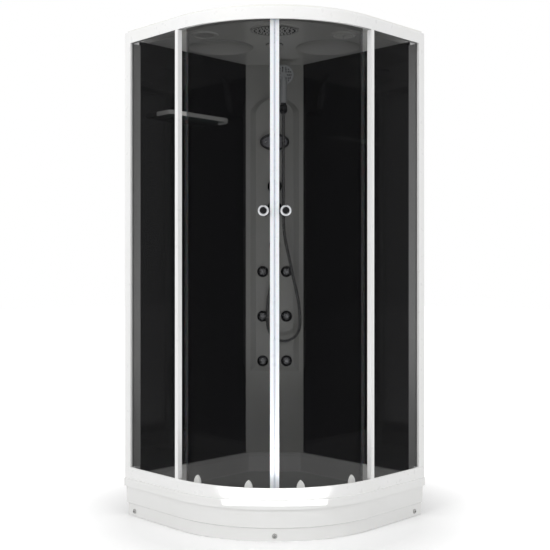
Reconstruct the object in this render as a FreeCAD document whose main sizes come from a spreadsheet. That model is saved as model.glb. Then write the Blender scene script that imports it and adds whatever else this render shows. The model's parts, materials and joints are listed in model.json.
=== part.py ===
"""Quadrant steam shower cabin, 900 x 900 x 2050 mm, as a parametric assembly.

Frame: +Z up, Z = 0 on the floor, X and Y zero at the middle of the square plan.
The square back corner of the cabin is at (-X, +Y) and the rounded entry faces (+X, -Y).
The plan is symmetric about the diagonal through both, so right-hand pieces are mirror images.
"""
import FreeCAD
import Part
import Sketcher
import math
import os
import re

# ---------------------------------------------------------------- driving sizes, in mm
SIZES = {
    # overall
    "side": 900.0,
    "corner_radius": 550.0,
    "overall_height": 2050.0,
    "seat_gap": 0.3,
    # tray
    "tray_top": 160.0,
    "tray_wall": 6.0,
    "skirt_drop": 34.0,
    "ledge_width": 50.0,
    "ledge_rise": 18.0,
    "rim_width": 62.0,
    "basin_depth": 63.0,
    "basin_draft": 22.0,
    "basin_fillet": 9.0,
    "corner_step": 10.0,
    "drain_inset_x": 217.0,
    "drain_inset_y": 188.0,
    "drain_radius": 45.0,
    "drain_cover_radius": 55.0,
    "waste_radius": 20.0,
    "waste_wall": 2.5,
    "waste_height": 55.0,
    "waste_collar": 24.0,
    "collar_length": 20.0,
    "trap_radius": 43.0,
    "trap_low": 30.0,
    "trap_wall": 3.0,
    "cover_crown": 6.5,
    "cover_edge": 1.5,
    "cover_stem": 7.0,
    "cover_stem_length": 30.0,
    "waste_end": 10.0,
    # apron
    "apron_gap": 0.5,
    "apron_wall": 4.0,
    "apron_lap": 14.0,
    "plinth_height": 50.0,
    "plinth_inset": 8.0,
    "apron_lean": 3.0,
    "floor_gap": 2.0,
    "cap_radius": 10.0,
    "cap_height": 23.0,
    "cap_screw": 3.0,
    "cap_screw_length": 14.0,
    "cap_offset": 51.0,
    # under-frame and feet
    "bar_width": 30.0,
    "bar_height": 25.0,
    "bar_wall": 2.0,
    "bar_start": 150.0,
    "bar_length": 810.0,
    "cross_at": 500.0,
    "cross_length": 820.0,
    "foot_radius": 24.0,
    "foot_height": 12.0,
    "foot_inset": 20.0,
    "stud_radius": 6.0,
    # rails, posts and jambs
    "rail_height": 48.0,
    "rail_inset": 4.0,
    "rail_depth": 48.0,
    "rail_wall": 2.5,
    "rail_curve": 3.0,
    "rail_upstand": 9.0,
    "lid_drop": 10.0,
    "track_lift": 8.0,
    "track_width": 37.0,
    "post_face": 39.0,
    "post_depth": 22.0,
    "trim_depth": 58.0,
    "extrusion_wall": 3.0,
    "groove_depth": 12.0,
    "jamb_face": 18.0,
    "jamb_depth": 16.0,
    "jamb_back": 2.0,
    # glass and wall panels
    "glass_thick": 5.0,
    "glass_inset": 14.0,
    "wall_face": 33.0,
    "wall_thick": 6.0,
    # doors
    "door_inset": 48.5,
    "door_low": 25.0,
    "door_high": 33.0,
    "door_rear_gap": 3.0,
    "meeting_gap": 0.5,
    "strip_width": 17.0,
    "strip_depth": 9.0,
    "strip_grip": 10.0,
    "rear_seal_width": 12.0,
    "rear_seal_fin": 6.0,
    "seal_wall": 1.6,
    "seal_slack": 0.25,
    "seal_end": 7.0,
    # door knobs and rollers
    "knob_offset": 41.5,
    "knob_height": 1264.5,
    "knob_radius": 21.0,
    "knob_reach": 24.0,
    "knob_hole": 5.5,
    "knob_stud": 4.0,
    "track_inset": 35.0,
    "wheel_radius": 11.5,
    "wheel_width": 8.0,
    "wheel_play": 0.05,
    "axle_radius": 3.0,
    "axle_head": 5.0,
    "roller_near": 11.45,
    "roller_far": 36.9,
    "bracket_thick": 8.5,
    "bracket_width": 31.0,
    "bracket_point": 69.0,
    "bracket_shoulder": 38.0,
    "bracket_screw": 24.0,
    "bracket_hole": 5.0,
    "bracket_stud": 4.0,
    "nut_radius": 9.0,
    "nut_thick": 5.0,
    # column
    "column_reach": 225.0,
    "column_wall": 4.0,
    "field_half": 88.0,
    "field_bevel": 28.0,
    "field_rise": 14.0,
    "field_low": 560.0,
    "field_drop": 218.0,
    "field_crown": 70.0,
    # column fittings: height on the column and size
    "panel_below": 152.0,
    "panel_long": 68.5,
    "panel_short": 40.0,
    "panel_thick": 11.0,
    "panel_rim": 7.0,
    "panel_recess": 3.0,
    "button_offset": 42.0,
    "button_radius": 6.0,
    "button_travel": 1.5,
    "diverter_below": 208.0,
    "diverter_radius": 33.0,
    "mixer_below": 106.0,
    "mixer_radius": 36.5,
    "tap_reach": 40.0,
    "tap_gap": 1.0,
    "spindle_radius": 8.0,
    "spindle_hole": 12.0,
    "outlet_below": 170.0,
    "outlet_radius": 26.0,
    "outlet_reach": 34.0,
    "outlet_drop": 36.0,
    "socket_radius": 10.5,
    "jet_offset": 56.0,
    "jet_below": 125.0,
    "jet_pitch": 210.0,
    "jet_radius": 26.0,
    "jet_flange": 8.0,
    "jet_ball": 15.0,
    "jet_seat": 15.3,
    "jet_centre": 3.0,
    "jet_reach": 14.0,
    "jet_neck": 10.5,
    "jet_hole": 17.5,
    # hand shower
    "hand_offset": 41.0,
    "cradle_drop": 216.0,
    "cradle_reach": 62.0,
    "bracket_base": 19.0,
    "pivot_radius": 5.0,
    "pivot_reach": 26.0,
    "ear_gap": 6.0,
    "ear_wall": 4.0,
    "cradle_wall": 4.5,
    "cradle_long": 24.0,
    "hand_lean": 10.0,
    "nut_top_radius": 12.5,
    "nut_bottom_radius": 10.0,
    "nut_high": 20.0,
    "nut_low": 28.0,
    "hose_depth": 45.0,
    "hose_end_gap": 3.0,
    "hose_lead": 52.0,
    "hose_radius": 7.0,
    "hose_play": 0.3,
    "handle_radius": 11.0,
    "head_along": 150.0,
    "head_radius": 47.0,
    "head_depth": 20.0,
    "head_tilt": 24.0,
    # shelf, on the left wall
    "shelf_height": 1712.0,
    "shelf_near": 393.0,
    "shelf_far": 753.0,
    "shelf_depth": 92.0,
    "shelf_bar": 5.0,
    "shelf_tall": 17.0,
    "shelf_glass": 6.0,
    "shelf_bend_near": 55.0,
    "shelf_bend_far": 22.0,
    # ceiling
    "ceiling_drop": 42.0,
    "ceiling_wall": 3.0,
    "ceiling_setback": 18.0,
    "ceiling_step": 100.0,
    "ceiling_rim": 10.0,
    "dome_from_wall": 200.0,
    "dome_from_front": 370.0,
    "dome_radius": 141.0,
    "dome_rise": 24.0,
    "rain_inset": 221.0,
    "rain_long": 98.0,
    "rain_short": 76.5,
    "rain_end_radius": 52.0,
    "rain_thick": 7.0,
    "rain_stem": 11.0,
    "spray_hole": 1.6,
    "lamp_behind": 255.0,
    "lamp_radius": 35.0,
    "fitting_from_dome": 116.0,
    "fitting_from_front": 178.0,
    "side_fitting_radius": 56.0,
    "duct_radius": 48.0,
    "duct_wall": 2.0,
    "duct_height": 26.0,
    "fan_radius": 43.0,
    "fan_hub": 15.0,
    "fan_bearing": 3.0,
    "grille_thick": 5.0,
    # concealed plumbing
    "valve_depth": 38.0,
    "valve_radius": 20.0,
    "inlet_radius": 10.48,
    "inlet_spread": 30.0,
    "inlet_length": 20.0,
    "pipe_radius": 8.0,
    "manifold_size": 28.0,
    "valve_below": 70.0,
    "valve_above": 58.0,
    "branch_radius": 6.0,
    "branch_stop": 10.0,
    "overhead_rise": 26.0,
    "boiler_low": 290.0,
    "boiler_tall": 300.0,
    "boiler_wide": 120.0,
    "boiler_deep": 78.0,
}

# sizes that follow from the ones above, as spreadsheet formulas
FORMULAS = {
    "half": "=side / 2",
    "arc_x": "=side / 2 - corner_radius",
    "arc_y": "=corner_radius - side / 2",
    "flat_length": "=side - corner_radius",
    "frame_top": "=overall_height - ceiling_rim",
    "ledge_top": "=tray_top + ledge_rise",
    "floor_top": "=tray_top - basin_depth",
    "floor_under": "=floor_top - tray_wall",
    "skirt_low": "=tray_top - skirt_drop",
    "rail_back": "=rail_inset + rail_depth",
    "lower_top": "=tray_top + rail_height",
    "upper_low": "=frame_top - rail_height",
    "track_low": "=upper_low + track_lift",
    "track_top": "=track_low + rail_wall",
    "glass_back": "=glass_inset + glass_thick",
    "door_outer": "=corner_radius - door_inset",
    "door_inner": "=door_outer - glass_thick",
    "door_bottom": "=tray_top + door_low",
    "door_top": "=upper_low + door_high",
    "track_radius": "=corner_radius - track_inset",
    "axle_low": "=tray_top + rail_wall + seat_gap + wheel_radius",
    "axle_high": "=track_top + seat_gap + wheel_radius",
    "column_front": "=(wall_face + column_reach) / sqrt(2)",
    "column_back": "=column_front - column_wall",
    "field_front": "=column_front + field_rise",
    "column_half": "=column_front - wall_face * sqrt(2)",
    "grip_out": "=field_front + cradle_reach",
    "hose_out": "=field_front + 24",
    "valve_out": "=column_back - valve_depth",
    "drain_x": "=half - drain_inset_x",
    "drain_y": "=half - drain_inset_y",
    "ceiling_low": "=overall_height - ceiling_drop",
    "ceiling_inside": "=ceiling_low + ceiling_wall",
    "field_high": "=ceiling_low - field_drop",
    "cradle_height": "=ceiling_low - cradle_drop",
    "panel_height": "=cradle_height - panel_below",
    "diverter_height": "=panel_height - diverter_below",
    "mixer_height": "=diverter_height - mixer_below",
    "outlet_height": "=mixer_height - outlet_below",
    "jet_high": "=outlet_height - jet_below",
    "jet_middle": "=jet_high - jet_pitch",
    "jet_low": "=jet_middle - jet_pitch",
    "valve_low": "=mixer_height - valve_below",
    "valve_high": "=diverter_height + valve_above",
    "overhead_pipe": "=ceiling_low + overhead_rise",
    "stem_top": "=overhead_pipe - pipe_radius",
    "dome_x": "=dome_from_wall - half",
    "dome_y": "=dome_from_front - half",
    "entry_front": "=side * sqrt(2) - corner_radius * (sqrt(2) - 1)",
    "rain_centre": "=entry_front - rain_inset",
    "lamp_centre": "=rain_centre - lamp_behind",
    "fitting_x": "=dome_x + fitting_from_dome",
    "fitting_y": "=half - fitting_from_front",
    "side_fitting_s": "=(fitting_x + fitting_y + side) / sqrt(2)",
    "side_fitting_lat": "=(fitting_y - fitting_x) / sqrt(2)",
}

document = FreeCAD.newDocument("SteamShowerCabin")
sheet = document.addObject("Spreadsheet::Sheet", "Sizes")
for row, (alias, content) in enumerate({**SIZES, **FORMULAS}.items(), 1):
    sheet.set(f"A{row}", alias)
    sheet.set(f"B{row}", str(content))
    sheet.setAlias(f"B{row}", alias)
document.recompute()
NAMES = set(SIZES) | set(FORMULAS)
nodes = {}


# ---------------------------------------------------------------- small helpers
def linked(text):
    """The same expression, with each size looked up in the sheet."""
    return re.sub(r"[a-z_]+", lambda word: ("Sizes." if word.group() in NAMES else "") + word.group(),
                  str(text))


def number(text):
    """The present value of an expression of sizes."""
    return float(sheet.evalExpression(linked(text)))


def bind(thing, **settings):
    """Tie properties of one object to expressions of sizes."""
    for key, text in settings.items():
        thing.setExpression(key, linked(text))
    return thing


def place(thing, x="0", y="0", z="0", yaw="0", pitch="0", roll="0"):
    """Put an object at a point, turned by yaw, pitch and roll in degrees."""
    thing.setExpression("Placement", linked(
        f"placement(vector({x}; {y}; {z}); rotation({yaw}; {pitch}; {roll}))"))
    return thing


def front_left(thing, z="0"):
    """Left front side: local x runs along the side from the wall, local y inwards."""
    return place(thing, "-half", "-half", z)


def wall_left(thing, z="0"):
    """Left wall: local x runs along the wall from the back corner, local y inwards."""
    return place(thing, "-half", "half", z, "-90")


def out_of_arc(thing, radius, angle, z):
    """On the entry arc, angle degrees left of its middle: local x along, y up, z outwards."""
    turn = f"(-45 - ({angle}))"
    return place(thing, f"arc_x + ({radius}) * cos({turn})", f"arc_y + ({radius}) * sin({turn})", z,
                 f"{turn} + 90", "0", "90")


def on_column(thing, out, across="0", z="0"):
    """On the column, out from the back corner along the diagonal: local x across, y up, z outwards."""
    return place(thing, f"-half + (({out}) + ({across})) / sqrt(2)",
                 f"half + (({across}) - ({out})) / sqrt(2)",
                 z, "45", "0", "90")


def under_ceiling(thing, out, across, z):
    """Local axes level, local x out along the diagonal, at a place given as on the column."""
    return place(thing, f"-half + (({out}) + ({across})) / sqrt(2)",
                 f"half + (({across}) - ({out})) / sqrt(2)",
                 z, "-45")


def new_body(label):
    body = document.addObject("PartDesign::Body", label)
    body.Label = label
    return body


def origin_plane(body, role):
    return next(item for item in body.Origin.OriginFeatures if item.Role == role)


def arc_between(start, end, radius):
    """The short arc from start to end, turning left for a positive radius and right for a negative one."""
    chord = end - start
    reach = math.sqrt(max(radius * radius - chord.Length * chord.Length / 4, 0.0))
    side = math.copysign(1.0, radius)
    centre = (start + end) / 2 + FreeCAD.Vector(-chord.y, chord.x, 0) / chord.Length * reach * side
    circle = Part.Circle(centre, FreeCAD.Vector(0, 0, 1), abs(radius))
    first, last = (start, end) if radius > 0 else (end, start)
    begin = math.atan2(first.y - centre.y, first.x - centre.x)
    finish = math.atan2(last.y - centre.y, last.x - centre.x)
    if finish <= begin:
        finish += 2 * math.pi
    return Part.ArcOfCircle(circle, begin, finish)


def draw(sketch, corners, closed=True):
    """Lines and arcs through corners (x, y) or (x, y, radius of the arc that leaves it)."""
    points = [FreeCAD.Vector(number(corner[0]), number(corner[1]), 0) for corner in corners]
    count = len(corners)
    edges = count if closed else count - 1
    first = sketch.GeometryCount
    ends = []
    for index in range(edges):
        start, end = points[index], points[(index + 1) % count]
        radius = number(corners[index][2]) if len(corners[index]) == 3 else 0.0
        if radius:
            sketch.addGeometry(arc_between(start, end, radius), False)
        else:
            sketch.addGeometry(Part.LineSegment(start, end), False)
        ends.append((1, 2) if radius >= 0 else (2, 1))
    rules, texts = [], []
    for index in range(edges):
        here = first + index
        after = (index + 1) % edges
        if closed or after:
            rules.append(Sketcher.Constraint("Coincident", here, ends[index][1], first + after,
                                             ends[after][0]))
            texts.append(None)
        hold_point(rules, texts, here, ends[index][0], points[index], corners[index])
        if len(corners[index]) == 3:
            rules.append(Sketcher.Constraint("Radius", here, abs(number(corners[index][2]))))
            texts.append(f"abs({corners[index][2]})")
    if not closed:
        hold_point(rules, texts, first + edges - 1, ends[-1][1], points[-1], corners[-1])
    apply_rules(sketch, rules, texts)


def hold_point(rules, texts, edge, end, point, corner):
    rules.append(Sketcher.Constraint("DistanceX", edge, end, point.x))
    rules.append(Sketcher.Constraint("DistanceY", edge, end, point.y))
    texts.extend((corner[0], corner[1]))


def draw_circle(sketch, x, y, radius):
    here = sketch.GeometryCount
    centre = FreeCAD.Vector(number(x), number(y), 0)
    sketch.addGeometry(Part.Circle(centre, FreeCAD.Vector(0, 0, 1), number(radius)), False)
    rules = [Sketcher.Constraint("DistanceX", here, 3, centre.x),
             Sketcher.Constraint("DistanceY", here, 3, centre.y),
             Sketcher.Constraint("Radius", here, number(radius))]
    apply_rules(sketch, rules, [x, y, radius])


def apply_rules(sketch, rules, texts):
    for index, text in zip(sketch.addConstraint(rules), texts):
        if text is not None:
            sketch.setExpression(f"Constraints[{index}]", linked(text))


def new_sketch(body, loops, role="XY_Plane", height="0", closed=True):
    """A sketch on one of the body's own origin planes; a loop is corners, or a circle (x, y, radius)."""
    sketch = body.newObject("Sketcher::SketchObject", f"{body.Name}_outline")
    sketch.AttachmentSupport = [(origin_plane(body, role), "")]
    sketch.MapMode = "FlatFace"
    sketch.setExpression("AttachmentOffset.Base.z", linked(height))
    for loop in loops:
        if isinstance(loop, tuple):
            draw_circle(sketch, *loop)
        else:
            draw(sketch, loop, closed)
    return sketch


def pad(body, loops, low, tall, role="XY_Plane", reverse=False):
    """Add material over a sketch at height low."""
    item = body.newObject("PartDesign::Pad", f"{body.Name}_pad")
    item.Profile = new_sketch(body, loops, role, low)
    item.Reversed = reverse
    bind(item, Length=tall)
    return item


def pocket(body, loops, top, deep, upwards=False):
    """Cut a sketch at height top downwards, or upwards."""
    item = body.newObject("PartDesign::Pocket", f"{body.Name}_pocket")
    item.Profile = new_sketch(body, loops, "XY_Plane", top)
    item.Reversed = upwards
    bind(item, Length=deep)
    return item


def turn(body, corners, angle="360"):
    """Turn a profile of (radius, height) about the body's own Z axis."""
    item = body.newObject("PartDesign::Revolution", f"{body.Name}_turned")
    profile = new_sketch(body, [corners], "XZ_Plane")
    item.Profile = profile
    item.ReferenceAxis = (profile, ["V_Axis"])
    bind(item, Angle=angle)
    return item


def loft(body, kind, low_loop, low, high_loop, high):
    """Join two outlines at two heights, adding or cutting."""
    first = new_sketch(body, [low_loop], "XY_Plane", low)
    second = new_sketch(body, [high_loop], "XY_Plane", high)
    item = body.newObject(f"PartDesign::{kind}Loft", f"{body.Name}_loft")
    item.Profile = first
    item.Sections = [second]
    item.Ruled = True
    return item


def polar(body, feature, count):
    """Repeat a feature round the body's own Z axis."""
    document.recompute()
    item = body.newObject("PartDesign::PolarPattern", f"{body.Name}_ring")
    item.Originals = [feature]
    item.Axis = (origin_plane(body, "Z_Axis"), [""])
    item.Angle = 360
    item.Occurrences = count
    body.Tip = item
    return item


def cylinder(radius, tall, label="Rod"):
    item = document.addObject("Part::Cylinder", label)
    return bind(item, Radius=radius, Height=tall)


def block(long, wide, tall, label="Block"):
    item = document.addObject("Part::Box", label)
    return bind(item, Length=long, Width=wide, Height=tall)


def fused(label, items):
    item = document.addObject("Part::MultiFuse", label)
    item.Shapes = items
    item.Label = label
    return item


def cut(label, base, tool):
    item = document.addObject("Part::Cut", label)
    item.Base = base
    item.Tool = tool
    item.Label = label
    return item


def group(label, items):
    """Loose pieces of one kind, kept as separate solids."""
    item = document.addObject("Part::Compound", label)
    item.Links = items
    item.Label = label
    return item


def mirrored(label, source):
    """The right-hand twin of a left-hand piece, across the diagonal plane of the plan."""
    item = document.addObject("Part::Mirroring", label)
    item.Source = source
    item.Normal = FreeCAD.Vector(1, 1, 0)
    item.Label = label
    return item


def keep(item):
    """Count an object as one sub-part of the cabin."""
    nodes[item.Label] = item
    return item


def keep_pair(name, left):
    """Keep a left-hand piece and its mirror image."""
    keep(left)
    keep(mirrored(f"right_{name}", left))


# ---------------------------------------------------------------- outlines in plan
def quadrant(front, back, corner=None):
    """The cabin's plan, moved in by front along the entry side and by back along the walls."""
    low, high = f"-half + ({front})", f"half - ({front})"
    wall_x, wall_y = f"-half + ({back})", f"half - ({back})"
    if corner is None:
        rear = [(wall_x, wall_y)]
    else:
        rear = [(f"{wall_x} + ({corner})", wall_y), (wall_x, f"{wall_y} - ({corner})")]
    return rear + [(wall_x, low), ("arc_x", low, f"corner_radius - ({front})"), (high, "arc_y"),
                   (high, wall_y)]


def entry_strip(outer, inner):
    """A strip that follows the entry side between two insets."""
    return [("-half", f"-half + ({outer})"), ("arc_x", f"-half + ({outer})", f"corner_radius - ({outer})"),
            (f"half - ({outer})", "arc_y"), (f"half - ({outer})", "half"),
            (f"half - ({inner})", "half"), (f"half - ({inner})", "arc_y", f"-(corner_radius - ({inner}))"),
            ("arc_x", f"-half + ({inner})"), ("-half", f"-half + ({inner})")]


def wall_strip(width, end, corner="0"):
    """An L along both walls, stopping short of the entry sides by end, with its inner corner cut across."""
    wall_x, wall_y = f"-half + ({width})", f"half - ({width})"
    bend = [(wall_x, wall_y)] if corner == "0" else [(wall_x, f"{wall_y} - ({corner})"),
                                                     (f"{wall_x} + ({corner})", wall_y)]
    return [("-half", "half"), ("-half", f"-half + ({end})"), (wall_x, f"-half + ({end})"), *bend,
            (f"half - ({end})", wall_y), (f"half - ({end})", "half")]


def oval(long, short, end_radius):
    """A smooth oval of four tangent arcs, long along local y."""
    across = f"(({long}) - ({end_radius}))^2 + ({short})^2 - ({end_radius})^2"
    flat = f"({across}) / (2 * (({short}) - ({end_radius})))"
    share = f"({end_radius}) / ({flat} - ({end_radius}))"
    x = f"({flat} - ({short})) * ({share})"
    y = f"(({long}) - ({end_radius})) * (1 + {share})"
    return [(x, f"-({y})", flat), (x, y, end_radius), (f"-({x})", y, flat),
            (f"-({x})", f"-({y})", end_radius)]


def plan_point(out, across="0"):
    """Plan coordinates of a place out along the diagonal from the back corner and across it."""
    return f"-half + (({out}) + ({across})) / sqrt(2)", f"half + (({across}) - ({out})) / sqrt(2)"


def sweep_entry(label, section, end="0"):
    """Carry a section of (inset, height) round the entry side, stopping short of both walls by end."""
    body = new_body(label)
    path = new_sketch(body, [[(f"-half + ({end})", "-half"), ("arc_x", "-half", "corner_radius"),
                              ("half", "arc_y"),
                              ("half", f"half - ({end})")]], closed=False)
    corners = [(f"({corner[0]}) - half", *corner[1:]) for corner in section]
    profile = new_sketch(body, [corners], "YZ_Plane", f"-half + ({end})")
    item = body.newObject("PartDesign::AdditivePipe", f"{label}_sweep")
    item.Profile = profile
    item.Spine = (path, ["Edge1", "Edge2", "Edge3"])
    return body


# ---------------------------------------------------------------- tray, apron and under-frame
def tray_basin():
    body = new_body("tray_basin")
    pad(body, [quadrant("0", "0")], "tray_top - tray_wall", "tray_wall")
    corner = "column_front * sqrt(2) - 2 * ledge_width + corner_step * sqrt(2)"
    pad(body, [wall_strip("ledge_width", "rail_back + apron_wall", corner)], "tray_top - tray_wall",
        "ledge_rise + tray_wall")
    outer = ("rim_width - tray_wall", "ledge_width - tray_wall", f"{corner} + tray_wall")
    inner = ("rim_width", "ledge_width", corner)
    deeper = [f"{value} + basin_draft" for value in inner[:2]]
    loft(body, "Additive", quadrant(f"{outer[0]} + basin_draft", f"{outer[1]} + basin_draft", outer[2]),
         "floor_under", quadrant(*outer), "tray_top - tray_wall")
    loft(body, "Subtractive", quadrant(*deeper, inner[2]), "floor_top", quadrant(*inner),
         "tray_top + seat_gap")
    pocket(body, [quadrant(*inner)], "ledge_top + tray_wall", "ledge_rise + tray_wall - seat_gap")
    pad(body, [quadrant("0", "0"), quadrant("tray_wall", "tray_wall")], "skirt_low", "skirt_drop - tray_wall")
    pocket(body, [("drain_x", "drain_y", "drain_radius")], "tray_top", "tray_top")
    document.recompute()
    round_edges(body, on_basin_floor, "basin_fillet")
    keep(body)


def on_basin_floor(edge):
    """Edges where the sloping basin walls meet the floor, without the drain's rim."""
    box = edge.BoundBox
    level = abs(box.ZMin - number("floor_top")) < 0.01 and abs(box.ZMax - number("floor_top")) < 0.01
    return level and max(box.XLength, box.YLength) > 3 * number("drain_radius")


def round_edges(body, wanted, radius):
    """Round the edges of the body's last feature that a test picks out."""
    base = body.Tip
    names = [f"Edge{index}" for index, edge in enumerate(base.Shape.Edges, 1) if wanted(edge)]
    item = body.newObject("PartDesign::Fillet", f"{body.Name}_rounding")
    item.Base = (base, names)
    bind(item, Radius=radius)
    return item


def front_apron():
    """Curved front sheet: laps behind the basin's skirt, leans in, and steps back to a plinth."""
    top = "skirt_low + apron_lap"
    face = "tray_wall + apron_gap"
    lean = f"{face} + apron_lean"
    plinth = f"{lean} + plinth_inset"
    knee = "plinth_height + floor_gap"
    panel = sweep_entry("apron_panel", [
        (face, top), (f"{face} + apron_wall", top), (f"{face} + apron_wall", "skirt_low"),
        (f"{lean} + apron_wall", f"{knee} + apron_wall"), (f"{plinth} + apron_wall", knee),
        (f"{plinth} + apron_wall", "floor_gap"), (plinth, "floor_gap"), (plinth, knee),
        (lean, f"{knee} + apron_wall"), (face, "skirt_low")], face)
    holes = []
    for spot in range(3):
        holes.append(on_plinth(cylinder("cap_screw + seat_gap", "4 * apron_wall"), spot, "2 * apron_wall"))
    keep(cut("front_apron", panel, fused("Apron_holes", holes)))


def screw_caps():
    """Three caps with their screws, which hold the apron's plinth."""
    caps = []
    for spot in range(3):
        cap = new_body(f"screw_cap_{spot + 1}")
        turn(cap, [("0", "-cap_screw_length"), ("cap_screw", "-cap_screw_length"), ("cap_screw", "0"),
                   ("cap_radius", "0"),
                   ("cap_radius", "2"), ("cap_radius - 4", "5"), ("0", "6")])
        caps.append(on_plinth(cap, spot))
    keep(group("apron_screws", caps))


def on_plinth(thing, spot, deeper="0"):
    """On the plinth's face, local z outwards: left end, right end or middle of the entry side."""
    depth = f"(tray_wall + apron_gap + apron_lean + plinth_inset + {deeper})"
    if spot == 0:
        return place(thing, "-half + cap_offset", f"-half + {depth}", "cap_height", "0", "0", "90")
    if spot == 1:
        return place(thing, f"half - {depth}", "half - cap_offset", "cap_height", "90", "0", "90")
    return out_of_arc(thing, f"corner_radius - {depth}", "0", "cap_height")


def tray_frame():
    """Two welded box bars in a cross, on which the basin's floor rests."""
    low = "floor_under - bar_height"
    spots = foot_spots()
    outer, hollow = [], []
    for long, wide, out, across in (("bar_length", "bar_width", "bar_start", "-bar_width / 2"),
                                    ("bar_width", "cross_length", "cross_at - bar_width / 2",
                                     "-cross_length / 2")):
        outer.append(under_ceiling(block(long, wide, "bar_height"), out, across, low))
        trim = "bar_wall"
        if long == "bar_length":
            inside = block(f"{long} + 2", f"{wide} - 2 * {trim}", "bar_height - 2 * bar_wall")
            under_ceiling(inside, f"{out} - 1", f"{across} + {trim}", f"{low} + bar_wall")
        else:
            inside = block(f"{long} - 2 * {trim}", f"{wide} + 2", "bar_height - 2 * bar_wall")
            under_ceiling(inside, f"{out} + {trim}", f"{across} - 1", f"{low} + bar_wall")
        hollow.append(inside)
    for out, across in spots:
        hollow.append(under_ceiling(cylinder("stud_radius + seat_gap", "bar_height - 2 * bar_wall"), out,
                                    across,
                                    f"{low} - bar_wall"))
    keep(cut("tray_frame", fused("Bars", outer), fused("Bar_hollows", hollow)))


def foot_spots():
    """Places of the five feet, out along the diagonal and across it."""
    return [("bar_start + foot_inset", "0"), ("bar_start + bar_length - foot_inset", "0"), ("cross_at", "0"),
            ("cross_at", "cross_length / 2 - foot_inset"), ("cross_at", "-(cross_length / 2 - foot_inset)")]


def levelling_feet():
    """Foot pad, threaded stud and lock nut; each stud stands in its bar."""
    low = "floor_under - bar_height"
    feet = []
    for index, (out, across) in enumerate(foot_spots(), 1):
        foot = new_body(f"foot_{index}")
        turn(foot, [("0", "0"), ("foot_radius - 2", "0"), ("foot_radius", "2"),
                    ("foot_radius", "foot_height / 2"),
                    ("stud_radius + 6", "foot_height"), ("stud_radius", "foot_height"),
                    ("stud_radius", f"{low} - 10"), ("stud_radius + 4", f"{low} - 10"),
                    ("stud_radius + 4", low),
                    ("stud_radius", low), ("stud_radius", f"{low} + bar_height / 2"),
                    ("0", f"{low} + bar_height / 2")])
        under_ceiling(foot, out, across, "0")
        feet.append(foot)
    keep(group("levelling_feet", feet))


def drain_trap():
    """Low trap under the basin, with its waste pipe towards the wall."""
    neck = "floor_under - trap_wall"
    cup = new_body("trap_outside")
    turn(cup, [("0", "trap_low"), ("trap_radius - 4", "trap_low"), ("trap_radius", "trap_low + 4"),
               ("trap_radius", neck),
               ("drain_cover_radius", neck), ("drain_cover_radius", "floor_under"), ("0", "floor_under")])
    place(cup, "drain_x", "drain_y")
    start = "drain_y + trap_radius - trap_wall - 5"
    pipe = waste_pipe("waste_radius", start, f"half - waste_end - ({start})")
    collar = waste_pipe("waste_collar", start, "collar_length")
    hollow = place(cylinder("trap_radius - trap_wall", "floor_under - trap_low", "Trap_inside"),
                   "drain_x", "drain_y", "trap_low + trap_wall")
    bore = waste_pipe("waste_radius - waste_wall", "drain_y", "half - drain_y")
    keep(cut("drain_trap", fused("Trap_outside", [cup, pipe, collar]), fused("Trap_bores", [hollow, bore])))


def waste_pipe(radius, start, long):
    """Level rod from the trap towards the right-hand wall."""
    return place(cylinder(radius, long), "drain_x", start, "waste_height", "0", "0", "-90")


def drain_cover():
    """Domed cover that lifts off the drain, with its guide stem."""
    cover = new_body("drain_cover")
    crown = "(drain_cover_radius^2 + cover_crown^2) / (2 * cover_crown)"
    turn(cover, [("0", "-cover_stem_length"), ("cover_stem", "-cover_stem_length"), ("cover_stem", "0"),
                 ("drain_cover_radius - 2 * cover_edge", "0"), ("drain_cover_radius", "cover_edge", crown),
                 ("0", "cover_edge + cover_crown")])
    place(cover, "drain_x", "drain_y", "floor_top + seat_gap")
    keep(cover)


# ---------------------------------------------------------------- frame extrusions and fixed glass
def lower_rail():
    inner, back = "rail_inset + rail_wall", "rail_back"
    keep(sweep_entry("bottom_rail", [
        ("rail_inset", "tray_top"), (back, "tray_top"), (back, "tray_top + rail_upstand"),
        (f"{back} - rail_wall", "tray_top + rail_upstand"), (f"{back} - rail_wall", "tray_top + rail_wall"),
        (inner, "tray_top + rail_wall"), (inner, "lower_top - rail_wall"),
        (f"{inner} + rail_wall", "lower_top - rail_wall"),
        (f"{inner} + rail_wall", "lower_top"), ("rail_inset + rail_curve", "lower_top", "rail_curve"),
        ("rail_inset", "lower_top - rail_curve")]))


def upper_rail():
    inner, back = "rail_inset + rail_wall", "rail_back"
    tread = "rail_inset + track_width"
    keep(sweep_entry("top_rail", [
        ("rail_inset", "upper_low"), (inner, "upper_low"), (inner, "track_low"), (tread, "track_low"),
        (tread, "track_top"), (inner, "track_top"), (inner, "frame_top - rail_wall"),
        (f"{back} - rail_wall", "frame_top - rail_wall"), (f"{back} - rail_wall", "frame_top - lid_drop"),
        (back, "frame_top - lid_drop"), (back, "frame_top"), ("rail_inset + rail_curve", "frame_top",
                                                              "rail_curve"),
        ("rail_inset", "frame_top - rail_curve")]))


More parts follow.
